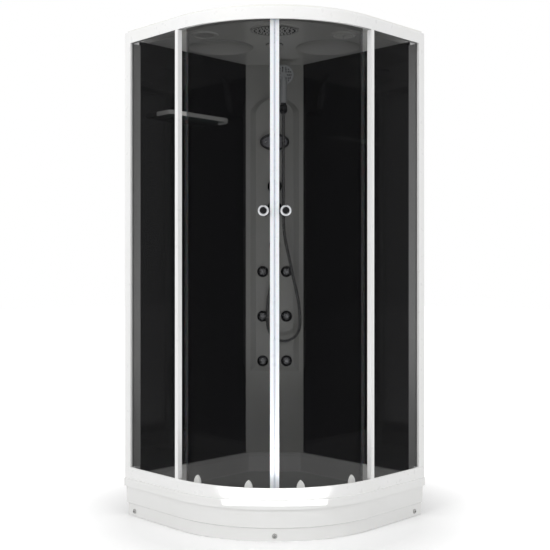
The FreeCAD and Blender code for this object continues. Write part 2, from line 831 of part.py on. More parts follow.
def posts():
    """Corner extrusions: glass groove on the entry side, trim leg over the wall panel's edge."""
    face, back = "rail_inset", "rail_inset + post_depth"
    leg = "wall_face + extrusion_wall"
    slack = "seat_gap"
    post = new_body("left_post")
    pad(post, [[("0", face), ("post_face", face), ("post_face", f"glass_inset - {slack}"),
                ("post_face - groove_depth", f"glass_inset - {slack}"),
                ("post_face - groove_depth", f"glass_back + {slack}"), ("post_face", f"glass_back + {slack}"),
                ("post_face", back), (leg, back), (leg, "trim_depth"), ("0", "trim_depth")],
               [("extrusion_wall", f"{face} + extrusion_wall"),
                ("post_face - groove_depth - extrusion_wall", f"{face} + extrusion_wall"),
                ("post_face - groove_depth - extrusion_wall", f"{back} + extrusion_wall"),
                ("wall_face", f"{back} + extrusion_wall"), ("wall_face", "trim_depth - extrusion_wall"),
                ("extrusion_wall", "trim_depth - extrusion_wall")]],
        "lower_top", "upper_low - lower_top")
    pad(post, [[("0", "rail_back + apron_wall"), (leg, "rail_back + apron_wall"), (leg, "trim_depth"),
                ("0", "trim_depth")]], "ledge_top", "lower_top - ledge_top")
    front_left(post)
    keep_pair("post", post)


def jambs():
    """Door-side extrusions at the tangent points, with the glass groove facing the post."""
    end = "flat_length + jamb_back"
    start = f"{end} - jamb_face"
    front, back = "rail_inset + 1", "rail_inset + 1 + jamb_depth"
    slack = "seat_gap"
    jamb = new_body("left_jamb")
    pad(jamb, [[(start, front), (end, front), (end, f"{back} + 5"), (f"{end} - jamb_back", f"{back} + 5"),
                (f"{end} - jamb_back", back), (start, back), (start, f"glass_back + {slack}"),
                (f"{start} + groove_depth - 2", f"glass_back + {slack}"),
                (f"{start} + groove_depth - 2", f"glass_inset - {slack}"),
                (start, f"glass_inset - {slack}")]],
        "lower_top", "upper_low - lower_top")
    front_left(jamb)
    keep_pair("jamb", jamb)


def fixed_glass():
    """Flat panes between post and jamb, standing in the lower rail and reaching the track's underside."""
    pane = new_body("left_fixed_glass")
    start = "post_face - groove_depth + seat_gap"
    end = "flat_length + jamb_back - jamb_face + groove_depth - 2 - seat_gap"
    pad(pane, [[(start, "glass_inset"), (end, "glass_inset"), (end, "glass_back"), (start, "glass_back")]],
        "tray_top + rail_wall", "track_low - tray_top - rail_wall")
    front_left(pane)
    keep_pair("fixed_glass", pane)


def wall_panels():
    """Glossy wall sheets from the column's edge to the post's trim leg."""
    panel = new_body("left_wall_panel")
    start, end = "column_reach - 20", "side - trim_depth"
    pad(panel, [[(start, "wall_face - wall_thick"), (end, "wall_face - wall_thick"), (end, "wall_face"),
                 (start, "wall_face")]], "ledge_top", "ceiling_low - ledge_top")
    wall_left(panel)
    keep_pair("wall_panel", panel)


# ---------------------------------------------------------------- sliding doors
def roller_spots():
    """The four rollers of one door: name, angle from the door's meeting edge, axle height."""
    return [("top_rear", "roller_far", "axle_high"), ("top_front", "roller_near", "axle_high"),
            ("bottom_rear", "roller_far", "axle_low"), ("bottom_front", "roller_near", "axle_low")]


def angle_for(length, radius):
    return f"(({length}) / ({radius}) * 180 / pi)"


def door_glass():
    """Bent pane of one door, with its holes for knob and roller studs."""
    pane = new_body("left_pane")
    rear = angle_for("door_rear_gap", "door_outer")
    front = angle_for("meeting_gap + strip_width - strip_grip", "door_outer")
    turn(pane, [("door_inner", "door_bottom"), ("door_outer", "door_bottom"), ("door_outer", "door_top"),
                ("door_inner", "door_top")], f"45 - {rear} - {front}")
    place(pane, "arc_x", "arc_y", "0", f"-90 + {rear}")
    holes = [out_of_arc(cylinder("knob_hole", "4 * glass_thick"), "door_inner - glass_thick",
                        angle_for("knob_offset", "door_outer"), "knob_height")]
    for name, angle, height in roller_spots():
        holes.append(out_of_arc(cylinder("bracket_hole", "4 * glass_thick"), "door_inner - glass_thick",
                                angle,
                                screw_height(name, height)))
    keep_pair("door_glass", cut("left_door_glass", pane, fused("Left_pane_holes", holes)))


def screw_height(name, height):
    """Height of the screw that holds a roller bracket to the glass."""
    return f"{height} + 4" if name.startswith("top") else f"{height} + bracket_screw"


def door_seals():
    """Meeting strip on the leading edge and finned clip on the trailing edge."""
    near = "strip_width / 2"
    low, high = "door_bottom + 2", "door_top - door_bottom - 4"
    inside, outside = "-(strip_depth / 2)", "strip_depth / 2"
    slot = "glass_thick / 2 + seal_slack"
    strip = new_body("left_meeting_strip")
    pad(strip, [[(f"-({near})", inside), (near, inside), (near, outside), (f"-({near})", outside),
                 (f"-({near})", slot), (f"-({near}) + strip_grip + 1", slot),
                 (f"-({near}) + strip_grip + 1", f"-({slot})"), (f"-({near})", f"-({slot})")]],
        f"-({high})", high, "XZ_Plane")
    out_of_arc(strip, "door_outer - glass_thick / 2", angle_for("meeting_gap + strip_width / 2",
                                                                "door_outer"), low)
    rear = "rear_seal_width"
    shell = f"{slot} + seal_wall"
    tall = "track_low - seal_end - door_bottom - seal_end"
    clip = new_body("left_rear_seal")
    pad(clip, [[("0", f"-({shell})"), (rear, f"-({shell})"), (rear, f"-({slot})"),
                ("seal_wall", f"-({slot})"),
                ("seal_wall", slot), (rear, slot), (rear, shell), ("seal_wall", shell),
                ("seal_wall", f"{shell} + rear_seal_fin"), ("0", f"{shell} + rear_seal_fin")]],
        f"-({tall})", tall, "XZ_Plane")
    out_of_arc(clip, "door_outer - glass_thick / 2",
               f"45 - {angle_for('door_rear_gap - seal_wall - 0.2', 'door_outer')}", "door_bottom + seal_end")
    keep_pair("door_seals", group("left_door_seals", [strip, clip]))


def door_knobs():
    """Round pull on both faces of the glass, joined by its stud."""
    reach, rear = "knob_reach", "-(glass_thick + seat_gap)"
    back = f"{rear} - knob_reach"
    knob = new_body("left_door_knob")
    turn(knob, [("0", back), ("knob_radius - 4", back), ("knob_radius", f"{back} + 4"),
                ("knob_radius", f"{back} + 10"), ("knob_radius * 0.45", f"{back} + 19"),
                ("knob_radius * 0.45", rear), ("knob_stud", rear), ("knob_stud", "0"),
                ("knob_radius * 0.45", "0"), ("knob_radius * 0.45", f"{reach} - 19"),
                ("knob_radius", f"{reach} - 10"), ("knob_radius", f"{reach} - 3"),
                ("knob_radius - 3", reach), ("knob_radius * 0.66", reach),
                ("knob_radius * 0.58", f"{reach} - 3"), ("0", f"{reach} - 3")])
    out_of_arc(knob, "door_outer", angle_for("knob_offset", "door_outer"), "knob_height")
    keep_pair("door_knob", knob)


def bracket_outline(name):
    """Teardrop body of a bottom roller, or the rounded plate of a top one, about its axle."""
    half = "bracket_width / 2"
    if name.startswith("top"):
        low, high, side = "-(wheel_radius - 2)", "wheel_radius + 2", "wheel_radius - 1"
        return [(f"-({side})", f"{low} + 4"), (f"-({side}) + 4", low), (f"{side} - 4", low),
                (side, f"{low} + 4"),
                (side, f"{high} - 6"), (f"{side} - 6", high), (f"-({side}) + 6", high),
                (f"-({side})", f"{high} - 6")]
    tip = "bracket_point - wheel_radius - rail_wall - seat_gap"
    shoulder = "bracket_shoulder - wheel_radius - rail_wall - seat_gap"
    return [("-8", "-4"), ("8", "-4"), (half, f"{shoulder} - 6"), (half, shoulder, "1.15 * bracket_width"),
            ("0", tip, "1.15 * bracket_width"), (f"-({half})", shoulder), (f"-({half})", f"{shoulder} - 6")]


def roller_brackets():
    """Bracket, axle, glass stud and inner nut of each of the door's four rollers."""
    brackets = []
    head = "track_radius + wheel_width / 2 + 0.3 - door_outer"
    for name, angle, height in roller_spots():
        bracket = new_body(f"left_{name}_bracket")
        pad(bracket, [bracket_outline(name)], "0", "bracket_thick")
        pad(bracket, [("0", "0", "axle_radius")], "bracket_thick - 1", f"{head} - bracket_thick + 2")
        pad(bracket, [("0", "0", "axle_head")], head, "1.5")
        screw = f"{screw_height(name, '0')}"
        nut = "glass_thick + nut_thick + seat_gap"
        pad(bracket, [("0", screw, "bracket_stud")], f"-({nut})", f"{nut} + 1")
        pad(bracket, [("0", screw, "nut_radius")], f"-({nut})", "nut_thick")
        out_of_arc(bracket, "door_outer", angle, height)
        brackets.append(bracket)
    keep_pair("roller_brackets", group("left_roller_brackets", brackets))


def wheels():
    """Ball-raced wheels of the doors, each on its own axle."""
    side = "wheel_width / 2"
    bore = "axle_radius + wheel_play"
    for name, angle, height in roller_spots():
        wheel = new_body(f"left_wheel_{name}")
        turn(wheel, [(bore, f"-({side})"), ("axle_radius + 2.4", f"-({side})"),
                     ("axle_radius + 2.4", f"-({side}) + 1.2"),
                     ("wheel_radius - 2.7", f"-({side}) + 1.2"), ("wheel_radius - 2.7", f"-({side})"),
                     ("wheel_radius - 0.8", f"-({side})"), ("wheel_radius", f"-({side}) + 0.8"),
                     ("wheel_radius", f"{side} - 0.8"), ("wheel_radius - 0.8", side),
                     ("wheel_radius - 2.7", side),
                     ("wheel_radius - 2.7", f"{side} - 1.2"), ("axle_radius + 2.4", f"{side} - 1.2"),
                     ("axle_radius + 2.4", side), (bore, side)])
        out_of_arc(wheel, "track_radius", angle, height)
        keep_pair(f"wheel_{name}", wheel)


# ---------------------------------------------------------------- column and its fittings
def field(half, low, high, crown):
    """Upright panel with a bowed top, across and up on the column."""
    radius = f"(({half})^2 + ({crown})^2) / (2 * ({crown}))"
    return [(f"-({half})", low), (half, low), (half, high, radius), (f"-({half})", high)]


def column():
    body = new_body("column")
    back_half = "column_half - column_wall"
    pad(body, [[(f"-({back_half})", "column_back"), (back_half, "column_back"),
                ("column_half", "column_front"),
                ("-(column_half)", "column_front")]], "-ceiling_low", "ceiling_low - ledge_top", "XZ_Plane")
    wide, wall = "field_half + field_bevel", "column_wall"
    loft(body, "Additive", field(wide, "field_low", "field_high", "field_crown"), "column_front - 1",
         field("field_half", "field_low + field_bevel", "field_high - field_bevel / 2", "field_crown"),
         "field_front")
    loft(body, "Subtractive",
         field(f"{wide} - 1.6 * {wall}", f"field_low + {wall}", f"field_high - {wall}", "field_crown"),
         "column_back - 1",
         field(f"field_half - {wall}", f"field_low + field_bevel + {wall}",
               f"field_high - field_bevel / 2 - {wall}",
               "field_crown"), f"field_front - {wall}")
    holes = [("0", "diverter_height", "spindle_hole"), ("0", "mixer_height", "spindle_hole"),
             ("0", "outlet_height", "spindle_hole")]
    holes += [(across, height, "jet_hole") for _, across, height in jet_spots()]
    pocket(body, holes, "field_front + 1", "field_rise + column_wall + 2")
    on_column(body, "0")
    keep(body)


def jet_spots():
    """Name, place across and height of each of the six body jets."""
    return [(f"{side}_{level}", f"{sign}jet_offset", f"jet_{level}")
            for level in ("high", "middle", "low") for side, sign in (("left", "-"), ("right", ""))]


def jets():
    """Fixed flange rings with ball seats, and the nozzles that tilt in them."""
    flanges = []
    seat, centre = "jet_seat", "jet_centre"
    mouth = f"sqrt({seat}^2 - (jet_flange - {centre})^2)"
    root = f"sqrt({seat}^2 - {centre}^2)"
    for name, across, height in jet_spots():
        ring = new_body(f"flange_{name}")
        turn(ring, [(root, "0"), ("jet_radius", "0"), ("jet_radius", "2.5"), ("jet_radius - 3", "5.5"),
                    ("jet_radius - 7", "jet_flange"), (mouth, "jet_flange", f"-{seat}")])
        on_column(ring, "field_front", across, height)
        flanges.append(ring)
        tail, lip = "9", "5"
        nozzle = new_body(f"jet_nozzle_{name}")
        turn(nozzle, [("0", f"-{tail}"), (f"sqrt(jet_ball^2 - {tail}^2)", f"-{tail}", "jet_ball"),
                      ("jet_ball", "0", "jet_ball"),
                      (f"sqrt(jet_ball^2 - {lip}^2)", lip), ("jet_neck", f"{lip} + 2"),
                      ("jet_neck", "jet_reach - 1.5"),
                      ("jet_neck - 1.5", "jet_reach"), ("jet_neck - 3.5", "jet_reach"),
                      ("jet_neck - 5", "jet_reach - 3"),
                      ("3", "jet_reach - 3"), ("2", "jet_reach - 0.5"), ("0", "jet_reach - 0.5")])
        on_column(nozzle, f"field_front + {centre}", across, height)
        keep(nozzle)
    keep(group("jet_flanges", flanges))


def control_panel():
    """Oval control housing with a raised rim, and its one power button."""
    outline = oval_across("panel_long", "panel_short", "28")
    recess = oval_across("panel_long - panel_rim", "panel_short - panel_rim", "22")
    body = new_body("control_panel")
    pad(body, [outline], "0", "panel_thick")
    pocket(body, [recess], "panel_thick", "panel_recess")
    pocket(body, [("-button_offset", "0", "button_radius + seat_gap")], "panel_thick", "panel_thick - 2")
    on_column(body, "field_front", "0", "panel_height")
    keep(body)
    button = new_body("power_button")
    turn(button, [("0", "0"), ("button_radius", "0"), ("button_radius", "5.5"),
                  ("button_radius - 1", "6.5"), ("0", "7")])
    on_column(button, "field_front + 2 + button_travel + seat_gap", "-button_offset", "panel_height")
    keep(button)


def oval_across(long, short, end_radius):
    """The oval turned so that it is long along local x."""
    return [(f"-({corner[1]})", corner[0], corner[2]) for corner in oval(long, short, end_radius)]


def taps():
    """Fluted diverter and mixer knobs on their spindles."""
    for name, radius, height in (("diverter_knob", "diverter_radius", "diverter_height"),
                                 ("mixer_knob", "mixer_radius", "mixer_height")):
        knob = new_body(name)
        bore = "spindle_radius + wheel_play"
        turn(knob, [(bore, "0"), (radius, "0"), (radius, "5"), (f"{radius} - 7", "12"),
                    (f"{radius} - 9", "tap_reach - 5"),
                    (f"{radius} - 13", "tap_reach"), ("0", "tap_reach"), ("0", "tap_reach / 2"),
                    (bore, "tap_reach / 2")])
        flute = pocket(knob, [(radius, "0", "8")], "tap_reach + 1", "tap_reach - 12")
        polar(knob, flute, 7)
        on_column(knob, "field_front + tap_gap", "0", height)
        keep(knob)


def hose_outlet():
    """Wall elbow with the socket that the shower hose leaves downwards."""
    flange = new_body("outlet_flange")
    turn(flange, [("0", "-6"), ("spindle_hole - 1", "-6"), ("spindle_hole - 1", "0"), ("outlet_radius", "0"),
                  ("outlet_radius", "3"), ("outlet_radius - 6", "7"), ("12", "8"),
                  ("11", "outlet_reach - 11"),
                  ("7", "outlet_reach - 4"), ("0", "outlet_reach - 2")])
    on_column(flange, "field_front", "0", "outlet_height")
    socket = under_ceiling(cylinder("socket_radius", "outlet_drop", "Outlet_socket"), "hose_out", "0",
                           "outlet_height - outlet_drop")
    keep(fused("hose_outlet", [flange, socket]))


# ---------------------------------------------------------------- hand shower and hose
def along_handle(thing, along, pitch="hand_lean"):
    """On the leaning axis of the hand shower, a distance up it from the middle of its cradle."""
    return place(thing, *plan_point(f"grip_out + ({along}) * sin(hand_lean)", "hand_offset"),
                 f"cradle_height + ({along}) * cos(hand_lean)", "-45", pitch)


def nut_radius_at(along):
    """Radius of the hand shower's conical nut at a distance above the middle of the cradle."""
    slope = "(nut_top_radius - nut_bottom_radius) / (nut_high + nut_low)"
    return f"(nut_bottom_radius + (({along}) + nut_low) * {slope})"


def handset_bracket():
    """Wall base with two ears and the pin that the cradle tilts on."""
    base = new_body("bracket_base")
    turn(base, [("0", "0"), ("bracket_base", "0"), ("bracket_base", "3"), ("bracket_base - 4", "6"),
                ("ear_gap + ear_wall", "7"), ("ear_gap + ear_wall", "14"), ("0", "14")])
    ears = []
    for side in ("-(ear_gap + ear_wall)", "ear_gap"):
        ear = new_body("bracket_ear")
        pad(ear, [[("10", "-8"), ("pivot_reach + 4", "-8"), ("pivot_reach + 8", "-4"),
                   ("pivot_reach + 8", "4"),
                   ("pivot_reach + 4", "8"), ("10", "8")]], side, "ear_wall")
        place(ear, *plan_point("field_front", "hand_offset"), "cradle_height", "-45", "0", "90")
        ears.append(ear)
    pin = cylinder("pivot_radius", "2 * (ear_gap + ear_wall)", "Bracket_pin")
    place(pin, *plan_point("field_front + pivot_reach", "hand_offset - ear_gap - ear_wall"), "cradle_height",
          "-45", "0", "-90")
    on_column(base, "field_front", "hand_offset", "cradle_height")
    keep(fused("handset_bracket", [base, *ears, pin]))


def handset_cradle():
    """Conical ring for the hand shower's nut, with the lug that turns on the bracket's pin."""
    ring = new_body("cradle_ring")
    low, high = "-cradle_long / 2", "cradle_long / 2"
    inner_low = f"{nut_radius_at(low)} + seat_gap"
    inner_high = f"{nut_radius_at(high)} + seat_gap"
    turn(ring, [(inner_low, low), (f"{inner_low} + cradle_wall", low),
                (f"{inner_high} + cradle_wall + 0.5", f"{high} - 2"),
                (f"{inner_high} + cradle_wall - 1.5", high), (inner_high, high)])
    along_handle(ring, "0")
    lug = new_body("cradle_lug")
    reach = "cradle_reach - pivot_reach - nut_top_radius - 2"
    half = "ear_gap - seat_gap"
    pad(lug, [[("-8", "-4"), ("-4", "-8"), (reach, "-8"), (reach, "8"), ("-4", "8"), ("-8", "4")],
              ("0", "0", "pivot_radius + wheel_play")], f"-({half})", f"2 * ({half})")
    place(lug, *plan_point("field_front + pivot_reach", "hand_offset"), "cradle_height", "-45", "0", "90")
    keep(fused("handset_cradle", [ring, lug]))


def hand_shower():
    """Conical nut bored for the hose, handle, and the round spray head."""
    handle = new_body("handle")
    bore = "hose_radius + hose_play"
    turn(handle, [(bore, "-nut_low"), ("nut_bottom_radius", "-nut_low"), ("nut_top_radius", "nut_high"),
                  ("nut_top_radius + 1", "nut_high + 2"), ("handle_radius", "nut_high + 6"),
                  ("handle_radius + 1.5", "nut_high + 60"), ("handle_radius + 3", "head_along - 22"),
                  ("handle_radius - 3", "head_along - 2"), ("0", "head_along - 2"),
                  ("0", "hose_depth - nut_low"), (bore, "hose_depth - nut_low")])
    along_handle(handle, "0")
    head = new_body("spray_head")
    rim, back = "head_radius", "head_depth / 2"
    turn(head, [("0", f"-({back}) - 4"), ("head_radius * 0.42", f"-({back}) - 2"),
                ("head_radius * 0.8", f"-({back}) + 5"),
                (rim, "1"), (rim, f"{back} - 3"), (f"{rim} - 3", back), (f"{rim} - 7", back),
                (f"{rim} - 9", f"{back} - 1.5"),
                ("head_radius * 0.3", f"{back} - 1.5"), ("head_radius * 0.27", f"{back} - 0.3"),
                ("0", f"{back} - 0.3")])
    along_handle(head, "head_along", "90 + head_tilt")
    keep(fused("hand_shower", [handle, head]))


# route of the shower hose between its two straight ends: out from the back corner along the diagonal,
# across, height
HOSE_ROUTE = [
    (247.5, 39.5, 1243.0),
    (247.0, 53.0, 1160.0),
    (245.5, 70.0, 1085.0),
    (243.5, 86.5, 1003.0),
    (241.5, 103.5, 931.0),
    (239.0, 115.0, 868.0),
    (237.0, 119.0, 812.0),
    (235.0, 117.0, 760.0),
    (232.0, 90.0, 719.0),
    (229.0, 45.0, 702.5),
    (226.5, -1.0, 717.0),
    (224.0, -30.5, 757.0),
    (222.0, -35.0, 806.0),
    (220.4, -34.0, 866.0),
    (220.4, -24.0, 938.0),
    (220.4, -7.0, 1010.0),
]
ARC_SHARE = 0.45          # share of the shorter run that an arc takes at each point


def shower_hose():
    """Smooth tube from inside the nut, straight past the knobs, round its loop and up to the outlet."""
    lean = math.radians(number("hand_lean"))

    def spot(out, across, height):
        corner, diagonal = number("half"), math.sqrt(2)
        return FreeCAD.Vector((out + across) / diagonal - corner, corner + (across - out) / diagonal, height)

    def on_handle(along):
        return spot(number("grip_out") + along * math.sin(lean), number("hand_offset"),
                    number("cradle_height") + along * math.cos(lean))

    start = on_handle(number("hose_depth - nut_low - hose_end_gap"))
    finish = spot(number("hose_out"), 0.0, number("outlet_height - outlet_drop"))
    below = finish - FreeCAD.Vector(0, 0, number("hose_lead"))
    points = [start, on_handle(-number("nut_low + hose_lead")), *(spot(*point) for point in HOSE_ROUTE),
              below, finish]
    path, radii = smooth_path(points)
    circle = Part.Circle(start, points[1] - start, number("hose_radius"))
    tube = path.makePipeShell([Part.Wire([circle.toShape()])], True, False)
    section = math.pi * number("hose_radius") ** 2
    print(f"hose length {path.Length:.0f}, radii", [round(value) for value in radii])
    print(f"hose volume over section times length {tube.Volume / (section * path.Length):.4f}")
    hose = document.addObject("Part::Feature", "shower_hose")
    hose.Label = "shower_hose"
    hose.Shape = tube
    keep(hose)


def smooth_path(points):
    """Straight runs joined by tangent arcs as large as the runs allow."""
    edges, radii = [], []
    last = points[0]
    for before, here, after in zip(points, points[1:], points[2:]):
        back, ahead = (before - here), (after - here)
        trim = ARC_SHARE * min(back.Length, ahead.Length)
        back.normalize()
        ahead.normalize()
        turned = math.pi - back.getAngle(ahead)
        radii.append(trim / math.tan(turned / 2))
        enter, leave = here + back * trim, here + ahead * trim
        middle = (back + ahead)
        middle.normalize()
        reach = radii[-1] / math.cos(turned / 2) - radii[-1]
        edges.append(Part.LineSegment(last, enter).toShape())
        edges.append(Part.Arc(enter, here + middle * reach, leave).toShape())
        last = leave
    edges.append(Part.LineSegment(last, points[-1]).toShape())
    return Part.Wire(edges), radii


# ---------------------------------------------------------------- shelf on the left wall
def shelf_band(width, inset="0"):
    """The shelf's U in plan, open to the wall: x along the wall, y out of it."""
    near, far = f"shelf_near + {inset}", f"shelf_far - {inset}"
    out = f"wall_face + shelf_depth - {inset}"
    bend_near, bend_far = f"shelf_bend_near - {inset}", f"shelf_bend_far - {inset}"
    return [(near, "wall_face"), (f"{near} + {width}", "wall_face"),
            (f"{near} + {width}", f"{out} - ({bend_near})", f"-({bend_near} - {width})"),
            (f"{near} + {bend_near}", f"{out} - {width}"), (f"{far} - ({bend_far})", f"{out} - {width}",
                                                            f"-({bend_far} - {width})"),
            (f"{far} - {width}", f"{out} - ({bend_far})"), (f"{far} - {width}", "wall_face"),
            (far, "wall_face"),
            (far, f"{out} - ({bend_far})", bend_far), (f"{far} - ({bend_far})", out),
            (f"{near} + {bend_near}", out, bend_near),
            (near, f"{out} - ({bend_near})")]


def shelf():
    """Bent rail fixed to the wall, and the glass plate that lies on its inner lip."""
    rail = new_body("shelf_rail")
    pad(rail, [shelf_band("shelf_bar")], "shelf_height - shelf_tall / 2", "shelf_tall")
    pad(rail, [shelf_band("(shelf_bar + 6)")], "shelf_height - shelf_glass / 2 - 2", "2")
    wall_left(rail)
    keep(rail)
    plate = new_body("shelf_plate")
    gap = "(shelf_bar + seat_gap)"
    near, far, out = f"shelf_near + {gap}", f"shelf_far - {gap}", f"wall_face + shelf_depth - {gap}"
    pad(plate, [[(near, "wall_face"), (far, "wall_face"), (far, "wall_face + shelf_depth - shelf_bend_far",
                                                           f"shelf_bend_far - {gap}"),
                 ("shelf_far - shelf_bend_far", out), ("shelf_near + shelf_bend_near", out,
                                                       f"shelf_bend_near - {gap}"),
                 (near, "wall_face + shelf_depth - shelf_bend_near")]], "shelf_height - shelf_glass / 2",
                 "shelf_glass")
    wall_left(plate)
    keep(plate)


# ---------------------------------------------------------------- ceiling and what hangs in it
def ceiling():
    """Formed sheet: sunken field with two domes, flange over the rail, and an upturned rim."""
    tray = new_body("ceiling_tray")
    pad(tray, [quadrant("ceiling_step", "0")], "ceiling_low", "frame_top + ceiling_wall - ceiling_low")
    pad(tray, [entry_strip("ceiling_setback", "ceiling_step + 1")], "frame_top", "ceiling_wall")
    pad(tray, [entry_strip("ceiling_setback", "ceiling_setback + ceiling_wall")], "frame_top", "ceiling_rim")
    pad(tray, [wall_strip("ceiling_wall", "ceiling_setback")], "frame_top", "ceiling_rim")
    holes = [(*plan_point("rain_centre"), "rain_stem + 1"), (*plan_point("lamp_centre"), "lamp_radius - 6"),
             (*plan_point("valve_out"), "pipe_radius + 2")]
    holes += [(*plan_point("side_fitting_s", f"{sign}side_fitting_lat"),
               "duct_radius + seat_gap") for sign in ("-", "")]
    pocket(tray, holes, "ceiling_inside + 1", "ceiling_wall + 2")
    domes(tray, "0")
    inside = new_body("ceiling_inside")
    pad(inside, [quadrant("ceiling_step + ceiling_wall", "ceiling_wall")], "ceiling_inside",
        "overall_height - ceiling_low")
    domes(inside, "ceiling_wall")
    keep(cut("ceiling", tray, inside))


def domes(body, thicker):
    """Cut the two shallow domes out of a body, or their outsides where they are thicker."""
    ball = "((dome_radius^2 + dome_rise^2) / (2 * dome_rise))"
    for x, y in (("dome_x", "dome_y"), ("-dome_y", "-dome_x")):
        dome = body.newObject("PartDesign::SubtractiveSphere", "ceiling_dome")
        bind(dome, Radius=f"{ball} + {thicker}")
        place(dome, x, y, f"ceiling_low + dome_rise - {ball}")


def rain_shower():
    """Oval overhead plate with rings of spray holes, and its threaded stem through the ceiling."""
    plate = new_body("rain_shower")
    outline = oval("rain_long", "rain_short", "rain_end_radius")
    inner = oval("rain_long - 4", "rain_short - 4", "rain_end_radius - 4")
    pad(plate, [outline], "-rain_thick + 1.5", "rain_thick - 1.5")
    pad(plate, [inner], "-rain_thick", "2")
    pad(plate, [("0", "0", "rain_stem")], "-1", "stem_top - ceiling_low + 1")
    for ring, count in (("16", 6), ("31", 12), ("46", 18), ("61", 24)):
        hole = pocket(plate, [("0", ring, "spray_hole")], "-rain_thick", "2.5", True)
        polar(plate, hole, count)
    under_ceiling(plate, "rain_centre", "0", "ceiling_low")
    keep(plate)


def ceiling_lamp():
    lamp = new_body("ceiling_lamp")
    turn(lamp, [("0", "-10"), ("lamp_radius - 15", "-8.5"), ("lamp_radius - 9", "-5"),
                ("lamp_radius - 8", "-4"),
                ("lamp_radius - 4", "-6"), ("lamp_radius", "-4"), ("lamp_radius", "0"),
                ("lamp_radius - 7", "0"),
                ("lamp_radius - 7", "14"), ("0", "14")])
    under_ceiling(lamp, "lamp_centre", "0", "ceiling_low")
    keep(lamp)


def ceiling_speaker():
    speaker = new_body("ceiling_speaker")
    rim = "side_fitting_radius"
    turn(speaker, [("0", "-3"), (f"{rim} - 12", "-3"), (f"{rim} - 11", "-5"), (f"{rim} - 3", "-5"),
                   (rim, "-2"),
                   (rim, "0"), ("duct_radius", "0"), ("duct_radius", "8"), ("duct_radius - 18", "18"),
                   ("duct_radius - 18", "duct_height"), ("0", "duct_height")])
    under_ceiling(speaker, "side_fitting_s", "-side_fitting_lat", "ceiling_low")
    keep(speaker)


def fan():
    """Extractor: flanged duct with a ring grille and a fixed pin, and the bladed rotor that turns on it."""
    ring = new_body("fan_duct")
    rim = "side_fitting_radius"
    turn(ring, [("duct_radius - duct_wall", "-grille_thick"), (f"{rim} - 3", "-grille_thick"), (rim, "-2"),
                (rim, "0"),
                ("duct_radius", "0"), ("duct_radius", "duct_height"),
                ("duct_radius - duct_wall", "duct_height")])
    under_ceiling(ring, "side_fitting_s", "side_fitting_lat", "ceiling_low")
    parts = [ring]
    for radius in ("22", "34"):
        hoop = new_body("grille_hoop")
        turn(hoop, [(f"{radius} - 1.5", "-grille_thick"), (f"{radius} + 1.5", "-grille_thick"),
                    (f"{radius} + 1.5", "-grille_thick + 2.5"), (f"{radius} - 1.5", "-grille_thick + 2.5")])
        under_ceiling(hoop, "side_fitting_s", "side_fitting_lat", "ceiling_low")
        parts.append(hoop)
    hub = new_body("grille_hub")
    turn(hub, [("0", "-grille_thick"), ("11", "-grille_thick"), ("11", "0"), ("fan_bearing", "0"),
               ("fan_bearing", "duct_height - 4"), ("0", "duct_height - 4")])
    under_ceiling(hub, "side_fitting_s", "side_fitting_lat", "ceiling_low")
    parts.append(hub)
    for turned in ("0", "60", "120"):
        spoke = block("2 * duct_radius - duct_wall", "3", "2.5", "Grille_spoke")
        shift = "(duct_radius - duct_wall / 2)"
        place(spoke, *plan_point(f"side_fitting_s - {shift} * cos({turned}) + 1.5 * sin({turned})",
                                 f"side_fitting_lat - {shift} * sin({turned}) - 1.5 * cos({turned})"),
              "ceiling_low - grille_thick", f"-45 + {turned}")
        parts.append(spoke)
    keep(fused("fan_housing", parts))
    rotor = new_body("fan_rotor")
    turn(rotor, [("fan_bearing + wheel_play", "3"), ("fan_hub", "3"), ("fan_hub", "duct_height - 6"),
                 ("fan_bearing + wheel_play", "duct_height - 6")])
    blade = pad(rotor, [[("-9", "6"), ("-7", "5"), ("9", "duct_height - 10"), ("7", "duct_height - 9")]],
                "fan_hub - 2", "fan_radius - fan_hub + 2", "YZ_Plane")
    polar(rotor, blade, 7)
    under_ceiling(rotor, "side_fitting_s", "side_fitting_lat", "ceiling_low")
    keep(rotor)


# ---------------------------------------------------------------- concealed plumbing and steam
def mixer_valve():
    """Valve behind the column with spindles, two inlets, risers and branches to every outlet."""
    pieces = [on_upright("valve_radius", "valve_low", "valve_high - valve_low", "0")]
    pieces.append(on_upright("pipe_radius", "valve_high - 5", "overhead_pipe - valve_high + 5", "0"))
    pieces.append(on_upright("pipe_radius", "jet_low", "valve_low - jet_low + 2", "0"))
    pieces.append(under_ceiling(cylinder("pipe_radius", "rain_centre - valve_out", "Overhead_pipe"),
                                "valve_out",
                                "0", "overhead_pipe"))
    place(pieces[-1], *plan_point("valve_out"), "overhead_pipe", "-45", "90")
    pieces.append(under_ceiling(cylinder("pipe_radius", "overhead_pipe - stem_top", "Drop_pipe"),
                                "rain_centre", "0",
                                "stem_top"))
    body = block("manifold_size", "2 * inlet_spread + manifold_size", "manifold_size", "Manifold")
    pieces.append(under_ceiling(body, "valve_out - manifold_size / 2",
                                "-(inlet_spread + manifold_size / 2)", "valve_low"))
    for sign in ("-", ""):
        pieces.append(on_upright("inlet_radius", "valve_low - inlet_length", "inlet_length + 2",
                                 f"{sign}inlet_spread"))
    for height in ("diverter_height", "mixer_height"):
        pieces.append(outwards("spindle_radius", "field_front + tap_gap + tap_reach / 2 - 1 - valve_out",
                               "0", height))
    pieces.append(outwards("pipe_radius", "field_front - 6 - valve_out", "0", "outlet_height"))
    for level in ("jet_high", "jet_middle", "jet_low"):
        pieces.append(crossbar(level, "jet_offset", "branch_radius"))
    for _, across, height in jet_spots():
        pieces.append(outwards("branch_radius", "field_front - branch_stop - valve_out", across, height))
    keep(fused("mixer_valve", pieces))


def on_upright(radius, low, tall, across):
    """Upright rod behind the column."""
    return under_ceiling(cylinder(radius, tall), "valve_out", across, low)


